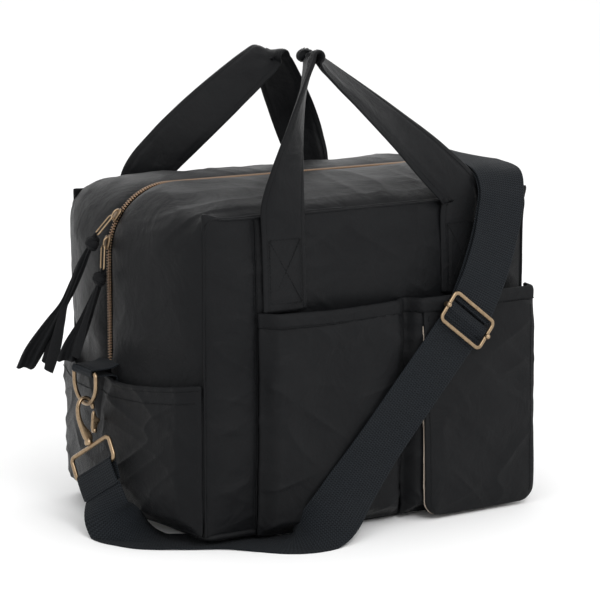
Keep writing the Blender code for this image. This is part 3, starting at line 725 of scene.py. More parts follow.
def make_band(name, facing, *nodes):
    """Half of the band over ends and top, from the zip to the face's seam."""
    u, v = mesh_grid(330, 76)
    share = u if facing > 0 else 1 - u
    flat = band_point(share, 0.0 * u)
    open_zip = step(flat[..., 2], ZIP_END_Z - 0.003, ZIP_END_Z + 0.012)
    inner = 0.0004 + (ZIP_GAP / 2 - 0.0004) * open_zip
    outer = HALF_D - SEAM_INSET
    y = inner + (outer - inner) * v
    points = band_point(share, facing * y)
    edge, from_zip = outer - y, y - inner
    points[..., 2] -= SEAM_INSET * np.exp(-edge / PUFF_REACH) * step(points[..., 2], HEIGHT - 0.02, HEIGHT)
    relief = band_relief(points, share, facing * y, edge, from_zip) - 0.0008 * np.exp(-from_zip / 0.004)
    low = np.exp(-np.clip(points[..., 2] - BASE_T, 0, None) / PUFF_REACH)
    relief = relief * (1 - 0.9 * low) - 0.0022 * low
    band = build(name, [shell(eared(raised(points, relief)), PANEL_T)], NYLON)
    place(band, "root", "nylon", *nodes)


def make_base():
    """The padded base with its rounded rim, one corner resting on the strap."""
    half_x, half_y = HALF_W + 0.0012, HALF_D - 0.0006
    outline = np.array(rounded_rectangle(2 * half_x, 2 * half_y, 0.012, 10))
    dense = []
    for a, b in zip(outline, np.roll(outline, -1, 0)):
        pieces = max(1, int(np.linalg.norm(b - a) / 0.004))
        dense += [a + (b - a) * k / pieces for k in range(pieces)]
    dense = np.array(dense + [dense[0]])
    under = [(0.0, 0.0), (0.35, 0.0), (0.7, 0.0), (0.9, 0.0), (0.955, 0.0002), (0.975, 0.0010)]
    edge = [(0.990, 0.0028), (0.998, 0.0055), (1.0, 0.0080), (0.996, 0.0105), (0.985, 0.0122)]
    rows = np.array(under + edge + [(0.965, 0.0128), (0.9, 0.0125), (0.5, 0.0125), (0.0, 0.0125)])
    grid = np.zeros((len(dense), len(rows), 3))
    grid[..., :2] = dense[:, None] * rows[None, :, :1]
    grid[..., 2] = rows[None, :, 1]
    ripple = noise(np.arange(len(dense))[:, None] * 0.33, rows[None, :, 1] * 60.0, 21.5)
    grid[..., :2] *= 1 + 0.0025 * (ripple * (rows[None, :, 1] > 0.001))[..., None]
    apart = np.hypot(grid[..., 0] + HALF_W, grid[..., 1] + HALF_D)
    grid[..., 2] += CORNER_LIFT * swell(apart / CORNER_LIFT_REACH) * (1 - grid[..., 2] / BASE_T).clip(0, 1)
    columns, levels = grid.shape[0], grid.shape[1]
    index = np.arange(columns * levels).reshape(columns, levels)
    faces = np.stack([index[:-1, :-1], index[1:, :-1], index[1:, 1:], index[:-1, 1:]], -1).reshape(-1, 4)
    uv = grid[..., :2] + grid[..., 2:] * 0.7
    base = build("base_panel_cloth", [(grid.reshape(-1, 3), faces.tolist(), uv.reshape(-1, 2))], NYLON)
    weld(base)
    place(base, "root", "nylon", "base_panel")


def band_seam(facing):
    """The line where the band is sewn to a face."""
    line = band_point(np.linspace(0, 1, SEAM_POINTS), facing * (HALF_D - SEAM_INSET * 0.8))
    line[..., 2] -= SEAM_INSET * 0.8 * step(line[..., 2], HEIGHT - 0.02, HEIGHT)
    at_end = step(np.abs(line[..., 0]), HALF_W - 0.01, HALF_W)
    line[..., 0] -= np.sign(line[..., 0]) * SEAM_INSET * 0.35 * at_end
    return eared(line)


def strip_seam():
    """The upright seam at the front pocket's left."""
    z = BASE_T + (HEIGHT - 0.004 - BASE_T) * np.linspace(0, 1, SEAM_POINTS)
    x = np.full(SEAM_POINTS, POCKET_LEFT_X)
    return np.stack([x, 0.0010 - front_y(x, z), z], -1)


def make_seams():
    """The narrow welts that stand up where the padded panels meet."""
    parts = []
    for facing in (-1, 1):
        line = band_seam(facing)
        wobble = 0.0004 * noise(np.arange(len(line)) * 0.31, 30.5 + facing)
        line = line + np.array([0.0, facing * 0.0002, 0.0]) + wobble[:, None] * np.array([0.3, 0.6, 0.5])
        parts.append(tube(line, 0.0012, 8, squash=0.8))
    strip = strip_seam()
    parts.append(tube(strip, 0.0007, 8))
    place(build("seam_welts", parts, HEM), "root", "nylon")
    row = strip + np.array([-0.0032, -0.0016, 0.0])
    place(build("strip_stitching", stitches([row], (0, -1, 0)), THREAD), "root", "nylon")


# ---------------------------------------------------------------- zip

def make_zip():
    t = np.linspace(0, 1, 600)
    line = band_point(t, 0.0 * t, -0.0002, ZIP_END_Z)
    for name, facing in (("front", -1), ("back", 1)):
        u, v = mesh_grid(300, 8)
        share = u if facing > 0 else 1 - u
        y = facing * (0.0005 + 0.0125 * v)
        tape = band_point(share, y, 0.0012 + 0.0022 * v, ZIP_END_Z)
        tape = raised(tape, 0.00015 * np.sin(u * 900.0))
        cloth = build("zip_tape_cloth_" + name, [shell(tape, 0.0008)], TAPE)
        place(cloth, "root", "zip_tape", "zip_tape_" + name)
        teeth = build("zip_teeth_row_" + name, tooth_row(line, facing), TEETH)
        place(teeth, "root", "zip_teeth", "zip_teeth_" + name)


def tooth_row(line, facing):
    """Single cast teeth, each a rounded block with a head that meets the other row."""
    pitch = 0.0026
    width, length, tall = 0.0014, 0.0036, 0.0023
    half_shape = [(-0.5, -0.72), (0.05, -1.0), (0.42, -0.86), (0.5, -0.3)]
    shape = [(-0.5, 0.72)] + half_shape + [(a, -b) for a, b in half_shape[:0:-1]]
    spots, ahead = along(line, pitch)
    parts = []
    for spot, direction in zip(spots[1:-1], ahead[1:-1]):
        side = np.array((0.0, float(facing), 0.0))
        up = np.cross(direction, (0.0, 1.0, 0.0))
        up = -up if up @ (spot - np.array((0.0, 0.0, 0.15))) < 0 else up
        centre = spot + side * (0.0015) + direction * (pitch / 2 if facing > 0 else 0.0)
        ring = []
        for level, grow in ((-0.5, 0.80), (-0.28, 1.0), (0.28, 1.0), (0.5, 0.74)):
            for a, b in shape:
                out, over = side * (a * length * grow), direction * (b * width / 2 * grow)
                ring.append(centre - out + over + up * (level * tall))
        faces = stacked_faces(len(shape), 4)
        if (np.cross(-side, direction) @ up) < 0:
            faces = [face[::-1] for face in faces]
        parts.append((np.array(ring), faces, None))
    return parts


SLIDER_LENGTH = 0.0130
SLIDER_WIDTH = 0.0095


def corner_axes(angle):
    """The directions out of and along the zip's rounded corner, angle in degrees above level."""
    a = math.radians(angle)
    return np.array((-math.cos(a), 0.0, math.sin(a))), np.array((math.sin(a), 0.0, math.cos(a)))


def frame_axes(node, angle):
    """A slider's middle and its axes from the zip's curve at that angle."""
    low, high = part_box(node)
    centre = np.array((low + high) / 2)
    away, ahead = corner_axes(angle)
    return centre, ahead, np.array((0.0, 1.0, 0.0)), away


def make_slider(name, angle):
    """The slider: a shield-shaped body with a low bridge that holds the pull."""
    centre, ahead, across, away = frame_axes("zip_slider_" + name, angle)
    half_outline = [(-0.5, 0.26), (-0.44, 0.36), (-0.15, 0.47), (0.30, 0.5)]
    half_outline += [(0.46, 0.40), (0.5, 0.2), (0.40, 0.05)]
    outline = half_outline + [(a, -b) for a, b in half_outline[::-1]]
    levels = ((-0.0014, 0.92), (-0.0011, 1.0), (0.0003, 1.0), (0.0009, 0.90), (0.0011, 0.72))
    verts = [centre + ahead * (a * SLIDER_LENGTH * s) + across * (b * SLIDER_WIDTH * s) + away * h
             for h, s in levels for a, b in outline]
    faces = stacked_faces(len(outline), len(levels))
    if np.cross(ahead, across) @ away < 0:
        faces = [face[::-1] for face in faces]
    bridge = [(-0.0050, 0.0008), (-0.0046, 0.0024), (-0.0030, 0.0033)]
    bridge += [(0.0006, 0.0035), (0.0030, 0.0026), (0.0042, 0.0008)]
    path = catmull([centre + ahead * a + away * h for a, h in bridge], 24)
    slider = build("slider_" + name, [(np.array(verts), faces, None), tube(path, 0.0009, 10)], BRASS)
    return place(slider, "slider_" + name, "antique_brass", "zip_slider_" + name)


# ---------------------------------------------------------------- pockets

def pocket_y(x, z, left, right, plane):
    """How far a pocket's wall stands from the middle of the bag."""
    from_right = (right - x) * (3.0 if right > HALF_W / 2 else 1.0)
    edge = np.minimum(np.minimum(x - left, from_right), z - POCKET_BOTTOM)
    rise = step(edge, 0.0, SEAM_RUN)
    seam = front_y(x, z) + 0.0030
    return seam + (plane - seam) * rise


def fullness(x, z, left, right):
    """How a filled pocket stands out, most at its middle."""
    u = (2 * x - left - right) / (right - left)
    v = (2 * z - 0.02 - POCKET_TOP) / (POCKET_TOP + 0.02)
    return np.sqrt(swell(u)) * np.sqrt(swell(v * 0.93))


def make_pocket(name, left, right, plane, full, seed, sag):
    """A pocket's wall and its hem."""
    u, v = mesh_grid(150, 170)
    top = POCKET_TOP - HEM_H + 0.001
    x = left + (right - left) * u
    z = POCKET_BOTTOM + (top - POCKET_BOTTOM) * v
    free = under_strap(x, z, STRAP_LINE, 0.03)
    lower = 1 - step(z, 0.0, 0.05)
    y = pocket_y(x, z, left, right, plane) + full * fullness(x, z, left, right)
    bunched = hump(x, FLAP_LEFT_X - 0.008, 0.009) * hump(z, 0.014, 0.016) * (plane == FLAP_POCKET_PLANE)
    y = y + bunched * (0.0060 + 0.0050 * noise(x / 0.006 + z / 0.009, z / 0.012, seed + 7))
    points = np.stack([x, -y, z - sag * hump(x, (left + right) / 2, (right - left) / 3) * v], -1)
    edge = np.minimum(x - left, right - x)
    gathers = puckers(z, edge, 0.016, 0.016, seed)
    gathers = gathers + 1.1 * puckers(x, z - POCKET_BOTTOM, 0.013, 0.022, seed + 1)
    gathers = gathers + 0.8 * puckers(x, top - z, 0.012, 0.012, seed + 2)
    slack = folds(x - 0.8 * z, z + 0.7 * x, 0.13, 0.042, seed + 3, 3.0)
    slack = slack + 0.8 * folds(x + 0.7 * z, z - 0.4 * x, 0.10, 0.026, seed + 4, 5.0)
    crumple = lower * folds(x + z, z - 0.4 * x, 0.04, 0.014, seed + 5, 2.0)
    quiet = step(edge, 0.0, 0.010) * step(z - POCKET_BOTTOM, 0.0, 0.012)
    lumps = noise(x / 0.05, z / 0.045, seed + 6)
    relief = 0.0011 * gathers + quiet * (0.0022 * (slack - 0.5) * (0.4 + 0.6 * free)
                                         + 0.0016 * lumps + 0.0016 * (crumple - 0.4) * lower)
    relief = relief - 0.0012 * np.exp(-(top - z) / 0.004)
    wall = build(name + "_cloth", [shell(raised(points, relief), POCKET_T)], NYLON)
    place(wall, "root", "nylon", name)
    make_hem(name, left, right, plane, full, seed, sag)


def make_hem(name, left, right, plane, full, seed, sag):
    """The folded band along a pocket's mouth, with one row of stitches."""
    u, v = mesh_grid(150, 14)
    x = left + (right - left) * u
    z = POCKET_TOP - HEM_H + (HEM_H + 0.0004) * v
    y = pocket_y(x, z, left, right, plane) + full * fullness(x, z, left, right)
    shape = 0.0008 * np.sqrt(swell(2 * v - 1)) + 0.0006
    shape = shape + 0.0006 * noise(x / 0.017, v * 0.8, seed + 9)
    shape = shape + 0.0004 * noise(x / 0.006, v * 1.5, seed + 10)
    rise = step(z, POCKET_TOP - 0.004, POCKET_TOP + 0.001)
    y = y + (0.0042 if plane == FLAP_POCKET_PLANE else 0.0) * step(x, FLAP_LEFT_X - 0.014, FLAP_LEFT_X)
    points = np.stack([x, -y + 0.0012 * rise, z - sag * hump(x, (left + right) / 2, (right - left) / 3)], -1)
    points = raised(points, shape)
    hem = build(name + "_binding", [shell(points, HEM_T, 0.4 * shape)], HEM)
    place(hem, "root", "nylon", name + "_hem")
    row = points[2:-2, 1] + np.array([0.0, -0.0002, 0.0])
    place(build(name + "_stitching", stitches([row], (0, -1, 0)), THREAD), "root", "nylon")


def make_flap():
    """The hanging flap: padded, bound at its edge, with the pale lining showing at its left."""
    u, v = mesh_grid(120, 170)
    width, tall = FLAP_RIGHT_X - FLAP_LEFT_X, FLAP_TOP - FLAP_BOTTOM
    corner = 0.016
    z = FLAP_BOTTOM + tall * v
    low = np.clip(corner - (z - FLAP_BOTTOM), 0, None)
    side_in = corner - np.sqrt(np.clip(corner ** 2 - low ** 2, 0, None))
    x = FLAP_LEFT_X + side_in + (width - 2 * side_in) * u
    bow = 0.0012 * noise(0.0 * x, z / 0.05, 41.5) * step(-np.abs(u - 0.5), -0.5, -0.42)
    lean = 0.0035 * (1 - v) ** 1.5
    free = under_strap(x, z, STRAP_LINE, 0.025)
    y = FLAP_Y - 0.0012 - lean + 0.0026 * step(z, FLAP_TOP - 0.022, FLAP_TOP)
    points = np.stack([x + bow * (1 - step(u, 0.0, 0.2)), y, z], -1)
    edge = np.minimum(np.minimum(x - FLAP_LEFT_X - side_in, FLAP_RIGHT_X - side_in - x), z - FLAP_BOTTOM)
    pad = puff(edge, 0.008)
    slack = folds(x + 0.9 * z, z - 0.5 * x, 0.10, 0.036, 42.5, 3.0)
    slack = slack + 0.7 * folds(x - 0.3 * z, z + x, 0.09, 0.024, 43.5, 4.0)
    gathers = puckers(z, edge, 0.013, 0.012, 44.5)
    lumps = noise(x / 0.04, z / 0.05, 45.5)
    relief = free * (0.0022 * pad + 0.0020 * (slack - 0.5) * pad + 0.0012 * lumps * pad)
    relief = relief + 0.0005 * gathers
    outer = raised(points, relief)
    flap = build("flap_cloth", [shell(outer, POCKET_T)], NYLON)
    place(flap, "flap", "nylon", "flap")
    back = points + np.array([0.0, 0.0030, 0.0])
    fray = noise(z / 0.012, u * 0.0, 46.5) + 0.4 * noise(z / 0.003, u * 0.0, 48.5)
    ragged = 0.0003 + 0.0009 * np.clip(fray, -0.3, 1.0)
    stand = np.where(u < 0.5, -1.0, 0.25)
    back[..., 0] += stand * ragged * step(np.abs(u - 0.5), 0.40, 0.5)
    back = raised(back, 0.0002 * noise(x / 0.01, z / 0.01, 47.5))
    lining = build("flap_lining_cloth", [shell(back, 0.0011)], LINING)
    place(lining, "flap", "lining", "flap_lining")
    left_row = outer[4, 8:-3] + np.array([0.0, -0.0001, 0.0])
    right_row = outer[-5, 8:-3] + np.array([0.0, -0.0001, 0.0])
    place(build("flap_stitching", stitches([left_row, right_row], (0, -1, 0)), THREAD), "flap", "nylon")


def make_side_pocket(name, side):
    """The wide pocket on an end, bound at the top and tacked at its middle under the tab."""
    span = HALF_D - 0.003
    bottom = BASE_T + 0.002
    u, v = mesh_grid(200, 90)
    y = side * span * (2 * u - 1)
    halves = np.abs(np.sin(math.pi * np.abs(y) / span))
    top = SIDE_POCKET_TOP + 0.009 * (np.abs(y) / span) - 0.003 * halves + 0.002 * hump(y, 0.0, 0.02)
    z = bottom + (top - bottom) * v
    edge = np.clip(np.minimum((span - np.abs(y)) / 0.018, (z - bottom) / 0.014), 0, 1)
    edge = edge * edge * (3 - 2 * edge)
    tack = np.minimum(1.0, 0.22 + np.abs(y) / 0.03 + (top - z) / 0.055)
    stand = 0.0030 + 0.0082 * edge * tack
    x = end_x(y, z) + stand
    points = np.stack([side * x, y, z], -1)
    reach = np.hypot(y, z - 0.150)
    angle = np.arctan2(0.155 - z, y)
    rays = (folds(reach, angle * 0.05, 0.14, 0.020, 51.5 + side, 1.6) - 0.5) * np.exp(-reach / 0.055)
    rays = rays * step(reach, 0.008, 0.040)
    slack = folds(y * 1.2 + z, z * 1.1 - 0.5 * y, 0.10, 0.034, 52.5 + side, 3.0)
    slack = slack + 0.8 * folds(y - z, z + 0.6 * y, 0.07, 0.020, 54.5, 5.0)
    gathers = puckers(y, z - bottom, 0.013, 0.020, 55.5) + puckers(z, span - np.abs(y), 0.014, 0.014, 56.5)
    gathers = gathers + 0.9 * puckers(y, top - z, 0.011, 0.014, 57.5)
    relief = 0.0034 * rays * edge + 0.0021 * (slack - 0.5) * edge + 0.0008 * gathers
    relief = relief + 0.0014 * noise(y / 0.05, z / 0.04, 58.5) * edge
    relief = relief * (1 - 0.5 * hump(y, 0.0, 0.03) * step(z, 0.05, 0.08)) + 0.0006
    wall = build(name + "_cloth", [shell(raised(points, relief), POCKET_T)], NYLON)
    place(wall, "root", "nylon", name)
    rim = raised(points, relief)[:, -1]
    binding = tube(rim[1:-1] + np.array([-side * 0.0010, 0.0, 0.0002]), 0.0021, 12, squash=1.25)
    place(build(name + "_binding", [binding], HEM), "root", "nylon")
    row = raised(points, relief + 0.0002)[3:-3, 81]
    place(build(name + "_stitching", stitches([row], (side, 0, 0)), THREAD), "root", "nylon")


# ---------------------------------------------------------------- handles

def handle_line(facing, peak_x, peak_z):
    """Stations of the whole handle: up from one sewn end, over the peak and down to the other."""
    foot_y, top_y = facing * HANDLE_Y, facing * (HALF_D - 0.012)
    z0 = HANDLE_FOLD_Z + 0.0035
    flat = (1.0, 0.0, 0.0)

    def sewn(x, z):
        return (x, facing * (front_y(x, z) + 0.0038), z), flat

    def leg(foot_x, share, side):
        x = foot_x + (peak_x - foot_x) * share ** 1.12
        return (x, foot_y + (top_y - foot_y) * share, z0 + (peak_z - z0) * share), side

    def side(turn, slope):
        a = math.radians(turn)
        return math.cos(a) * slope[0], facing * -math.sin(a), math.cos(a) * slope[1]

    sewn_z = (PATCH_BOTTOM, 0.235, 0.258, 0.282)
    slant_left = (0.90, -0.35 - 0.35 * (peak_x > 0))
    slant_right = (0.90, 0.45 + 0.25 * (peak_x < 0))
    turns = ((0.2, 14), (0.45, 34), (0.7, 50), (0.93, 64))
    stations = [sewn(-HANDLE_X, z) for z in sewn_z] + [leg(-HANDLE_X, 0.0, flat)]
    stations += [leg(-HANDLE_X, share, side(turn, slant_left)) for share, turn in turns]
    stations.append(leg(-HANDLE_X, 1.0, side(66, (0.80, 0.0))))
    stations += [leg(HANDLE_X, share, side(turn, slant_right)) for share, turn in turns[::-1]]
    stations += [leg(HANDLE_X, 0.0, flat)] + [sewn(HANDLE_X, z) for z in sewn_z[::-1]]
    return stations


def make_handle(name, facing, peak_x, peak_z):
    """A padded cloth handle, sewn flat to the face at both ends."""
    columns, rows = 22, 420
    grid = band_grid(handle_line(facing, peak_x, peak_z), HANDLE_W, columns, rows)
    across = np.linspace(-0.5, 0.5, columns + 1)[:, None]
    share = np.linspace(0, 1, rows + 1)[None, :]
    edge = (0.5 - np.abs(across)) * HANDLE_W
    half = 0.0011 + 0.0021 * puff(edge, 0.0035) - 0.0007 * hump(edge, 0.0045, 0.0012)
    sewn = np.maximum(1 - step(grid[..., 2], HANDLE_FOLD_Z - 0.02, HANDLE_FOLD_Z), 0)
    run = share * 0.62
    wrinkles = 0.00055 * noise(run / 0.011, across * 4.0, 61.5 + facing)
    wrinkles = wrinkles + 0.0009 * noise(run / 0.035, across * 1.5, 62.5)
    half = np.maximum(half + wrinkles * (1 - 0.5 * sewn) * puff(edge, 0.004), 0.0009)
    outer = grid + grid_normals(grid) * half[..., None]
    handle = build(name + "_cloth", [shell(outer, 0.0, 2 * half)], NYLON)
    face = "front" if facing < 0 else "back"
    nodes = [name] + ["handle_patch_" + face + "_" + end for end in ("left", "right")]
    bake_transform(handle)
    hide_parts(*nodes)
    rows_of_stitches = []
    normals = grid_normals(grid)
    for index in (2, columns - 2):
        for sign in (1, -1):
            off = normals[index] * sign * (half[index] + 0.0001)[:, None]
            rows_of_stitches.append(grid[index] + off)
    edging = build(name + "_stitching", stitches(rows_of_stitches, (0, 0, 0), radius=0.00026), THREAD)
    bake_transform(edging)
    crosses = []
    for x in (-HANDLE_X, HANDLE_X):
        crosses += box_stitch(x, facing)
    boxes = stitches(crosses, (0, facing, 0), radius=0.00036)
    place(build(name + "_box_stitching", boxes, THREAD), "root", "nylon")


def box_stitch(x, facing):
    """The box and cross that hold a handle's end down."""
    half = HANDLE_W / 2 - 0.006
    low, high = PATCH_BOTTOM + 0.006, HANDLE_FOLD_Z - 0.024
    corners = [(-half, low), (half, low), (half, high), (-half, high), (-half, low), (half, high)]
    runs = list(zip(corners[:-1], corners[1:])) + [((half, low), (-half, high))]
    lines = []
    for (xa, za), (xb, zb) in runs:
        t = np.linspace(0, 1, 24)
        px, pz = x + xa + (xb - xa) * t, za + (zb - za) * t
        lines.append(np.stack([px, facing * (front_y(px, pz) + 0.0038 + 0.0031), pz], -1))
    return lines


# ---------------------------------------------------------------- metal fittings

TAB_X = HALF_W + END_BULGE + 0.027
TAB_Z = 0.150
RING_R = 0.0020
RING_W = 0.042
RING_H = 0.031
HOOK_T = 0.0045
HOOK_LEAN = 12.0
LOOP_LEAN = 33.0
LOOP_GAP = 0.0016
LOOP_R = 0.0021
LOOP_W = 0.0575
LOOP_H = 0.022
HOOK_BOTTOM = -0.0410
RING_SEAT = np.array((-0.0008, -0.0037, 0.0))
HOOK_OUTLINE = [
    (0.0052, -0.0410), (0.0070, -0.0290), (0.0100, -0.0200), (0.0105, -0.0100), (0.0085, -0.0020),
    (0.0040, 0.0030), (-0.0020, 0.0040), (-0.0075, 0.0010), (-0.0100, -0.0050), (-0.0102, -0.0105),
    (-0.0060, -0.0105), (-0.0058, -0.0060), (-0.0040, -0.0022), (-0.0010, -0.0005), (0.0025, -0.0010),
    (0.0052, -0.0040), (0.0062, -0.0100), (0.0055, -0.0180), (0.0030, -0.0245), (-0.0020, -0.0300),
    (-0.0044, -0.0330), (-0.0040, -0.0410),
]
TRIGGER = [
    (-0.0056, -0.0318), (-0.0030, -0.0284), (-0.0046, -0.0230), (-0.0062, -0.0112), (-0.0098, -0.0112),
    (-0.0096, -0.0180), (-0.0135, -0.0190), (-0.0140, -0.0215), (-0.0100, -0.0250), (-0.0085, -0.0310),
]
PIVOT = np.array((-0.0066, -0.0300, 0.0))


def hang(side, drop, left_lean=HOOK_LEAN):
    """The way an end's fittings hang; drop is -1 for down and 1 where the strap pulls them up."""
    lean = math.radians(left_lean if side < 0 else 0.0)
    return np.array((0.0, -math.sin(lean), drop * math.cos(lean)))


def hook_frame(side, drop):
    """The hook's own axes in the row frame: away from the bag, loop to eye, and through it."""
    ring_bottom = np.array((side * TAB_X, 0.0, TAB_Z + drop * RING_H))
    away = np.array((float(side), 0.0, 0.0))
    up = -hang(side, drop)
    through = np.cross(away, up)
    axes = np.stack([away, up, through])
    return ring_bottom - RING_SEAT @ axes, axes


CORNER_EASE = 0.55


def softened(outline, count=4):
    """An outline with its corners eased."""
    points = np.array(outline)
    eased = []
    for here, after in zip(points, np.roll(points, -1, 0)):
        eased += [here * (1 - t) + after * t for t in (0.22, 0.5, 0.78)]
    for _ in range(count):
        eased = np.array(eased)
        between = (np.roll(eased, 1, 0) + np.roll(eased, -1, 0)) / 2
        eased = eased * (1 - CORNER_EASE) + between * CORNER_EASE
    return eased


def cast_plate(outline, thickness, rounding, frame_at, axes):
    """A flat casting with well rounded edges, as a part for build()."""
    curve = bpy.data.curves.new("casting", "CURVE")
    curve.dimensions = "2D"
    curve.fill_mode = "BOTH"
    curve.extrude = thickness / 2 - rounding
    curve.bevel_depth = rounding
    curve.bevel_resolution = 4
    curve.offset = -rounding
    spline = curve.splines.new("POLY")
    spline.points.add(len(outline) - 1)
    for target, point in zip(spline.points, outline):
        target.co = (point[0], point[1], 0.0, 1.0)
    spline.use_cyclic_u = True
    item = bpy.data.objects.new("casting", curve)
    bpy.context.scene.collection.objects.link(item)
    bpy.context.view_layer.update()
    mesh = bpy.data.meshes.new_from_object(item.evaluated_get(bpy.context.evaluated_depsgraph_get()))
    verts = np.array([v.co for v in mesh.vertices])
    faces = [list(p.vertices) for p in mesh.polygons]
    bpy.data.objects.remove(item)
    bpy.data.curves.remove(curve)
    bpy.data.meshes.remove(mesh)
    if np.cross(axes[0], axes[1]) @ axes[2] < 0:
        faces = [face[::-1] for face in faces]
    return frame_at + verts @ axes, faces, None


def turned(profile, centre, axis, guide, sides=28):
    """A turned part from (radius, height) pairs about an axis."""
    axis = unit(np.array(axis, float))
    first = unit(np.array(guide, float) - axis * (np.array(guide, float) @ axis))
    second = np.cross(axis, first)
    angles = np.arange(sides) * 2 * math.pi / sides
    ring = np.cos(angles)[:, None] * first + np.sin(angles)[:, None] * second
    verts = np.concatenate([centre + axis * h + ring * r for r, h in profile])
    return verts, stacked_faces(sides, len(profile)), None


def smooth_metal(item, angle=45):
    """Weld a casting and keep its corners crisp."""
    weld(item)
    item.data.set_sharp_from_angle(angle=math.radians(angle))
    return item


def make_ring(name, side, drop):
    """The D ring that hangs in an end's tab."""
    half = RING_W / 2
    bow = RING_H - half
    corner = 0.004
    rounded = [(half - corner + corner * math.sin(a), corner - corner * math.cos(a))
               for a in np.linspace(0.3, 1.5, 5)]
    shape = [(-half + corner, 0.0), (0.0, 0.0), (half - corner, 0.0)] + rounded
    shape += [(half * math.cos(a), bow + half * math.sin(a)) for a in np.linspace(0.0, math.pi, 40)]
    shape += [(-a, b) for a, b in rounded[::-1]]
    points = [(side * TAB_X, a, TAB_Z + drop * b) for a, b in shape]
    ring = build(name + "_metal", [tube(points, RING_R, 18, closed=True)], BRASS)
    return place(ring, name, "antique_brass", name)


def make_tab(name, side):
    """Ribbed webbing folded round the ring's bar and sewn to the end."""
    turn = RING_R + 0.0006 + 0.0008
    root = HALF_W + END_BULGE - 0.0006
    path = [(root, TAB_Z + 0.0100), (root + 0.0022, TAB_Z + 0.0062), (root + 0.010, TAB_Z + turn + 0.0004)]
    path += [(TAB_X + turn * math.cos(a), TAB_Z + turn * math.sin(a))
             for a in np.linspace(math.pi / 2, -math.pi / 2, 9)]
    path += [(root + 0.010, TAB_Z - turn - 0.0004), (root + 0.0040, TAB_Z - 0.0060)]
    path.append((root + 0.0036, TAB_Z - 0.0120))
    stations = [((side * x, 0.0, z), (0.0, float(-side), 0.0)) for x, z in path]
    grid = band_grid(stations, 0.036, 20, 130)
    grid = grid + grid_normals(grid) * 0.0007
    lumps = noise(np.linspace(0, 3, 21)[:, None], np.linspace(0, 5, 131)[None, :], 71.5)
    grid = grid + 0.0006 * lumps[..., None]
    tab = build(name + "_webbing", [shell(grid, 0.0014)], WEBBING)
    place(tab, "root", "webbing", name)
    rows = [grid[2:-2, j] + grid_normals(grid)[2:-2, j] * 0.0001 for j in (26, 31)]
    place(build(name + "_stitching", stitches(rows, (0, 0, 1)), THREAD), "root", "webbing")


def make_hook(end, side, drop):
    """The snap hook: cast body with a swivel barrel, sprung trigger and rivet."""
    at, axes = hook_frame(side, drop)

    def world(x, y, z=0.0):
        return at + np.array((x, y, z)) @ axes

    outline = softened(HOOK_OUTLINE)
    barrel = [(0.0002, -0.0012), (0.0030, -0.0012), (0.0037, -0.0004), (0.0039, 0.0012)]
    barrel += [(0.0037, 0.0030), (0.0030, 0.0040), (0.0026, 0.0048), (0.0002, 0.0052)]
    neck = turned(barrel, world(0.0006, HOOK_BOTTOM - 0.0002), axes[1], axes[0])
    body = build("hook_" + end + "_casting", [cast_plate(outline, HOOK_T, 0.0019, at, axes), neck], BRASS)
    place(smooth_metal(body), "hook_" + end, "antique_brass", "hook_" + end + "_body")
    blade = cast_plate(softened(TRIGGER, 2), HOOK_T - 0.0012, 0.0012, at, axes)
    lever = build("hook_" + end + "_lever", [blade], BRASS)
    place(smooth_metal(lever), "trigger_" + end, "antique_brass", "hook_" + end + "_trigger")
    head = [(0.0002, -0.0030), (0.0014, -0.0029), (0.0019, -0.0025), (0.0020, -0.0022)]
    head += [(r, -h) for r, h in head[::-1]]
    rivet = build("hook_" + end + "_rivet", [turned(head, world(*PIVOT[:2]), axes[2], axes[0])], BRASS)
    place(smooth_metal(rivet), "hook_" + end, "antique_brass")


def loop_side(side):
    """The direction along a loop's bar."""
    if side > 0:
        return np.array((0.0, 1.0, 0.0))
    turned_side = np.array((-0.20, 0.98, 0.0))
    down = hang(side, -1, LOOP_LEAN)
    return unit(turned_side - down * (turned_side @ down))


def loop_top(side, drop):
    """Where a loop hangs from its hook's swivel."""
    at, axes = hook_frame(side, drop)
    return at + np.array((0.0, HOOK_BOTTOM - LOOP_R - LOOP_GAP, 0.0)) @ axes


def make_loop(end, side, drop):
    """The rectangular wire loop that the strap is sewn round."""
    top, across, down = loop_top(side, drop), loop_side(side), hang(side, drop, LOOP_LEAN)
    wire = rounded_rectangle(LOOP_W, LOOP_H, 0.0046, 9)
    points = [top + across * x + down * (y + LOOP_H / 2) for x, y in wire]
    loop = build("hook_" + end + "_loop_metal", [tube(points, LOOP_R, 18, closed=True)], BRASS)
    place(loop, "loop_" + end, "antique_brass", "hook_" + end + "_loop")


STRAP_TAIL = 0.018


def make_strap_end(end, side, drop):
    """The strap folded round the loop's bar and sewn to itself."""
    across, down = loop_side(side), hang(side, drop, LOOP_LEAN)
    bar = loop_top(side, drop) + down * LOOP_H
    outward = np.cross(across, down)
    turn = LOOP_R + 0.0003 + STRAP_T / 2
    path = [outward * (turn - 0.0014) + down * (STRAP_TAIL + 0.004),
            outward * (turn - 0.0008) + down * STRAP_TAIL, outward * turn + down * 0.008]
    path += [outward * turn * math.cos(a) - down * turn * math.sin(a) for a in np.linspace(0, math.pi, 9)]
    path += [outward * -turn + down * 0.008, outward * -(turn - 0.0008) + down * STRAP_TAIL]
    stations = [(bar + p, across) for p in path]
    grid = band_grid(stations, STRAP_W, 24, 140)
    grid = grid + grid_normals(grid) * STRAP_T / 2
    piece = build("strap_fold_" + end, [shell(grid, STRAP_T)], WEBBING)
    place(piece, "loop_" + end, "webbing", "strap_end_" + end)
    normals = grid_normals(grid)
    rows = [grid[2:-2, j] + normals[2:-2, j] * 0.0001 for j in (14, 26)]
    sewn = build("strap_fold_stitching_" + end, stitches(rows, (0, 0, 0), radius=0.0004), THREAD)
    place(sewn, "loop_" + end, "webbing")


# ---------------------------------------------------------------- strap and buckle

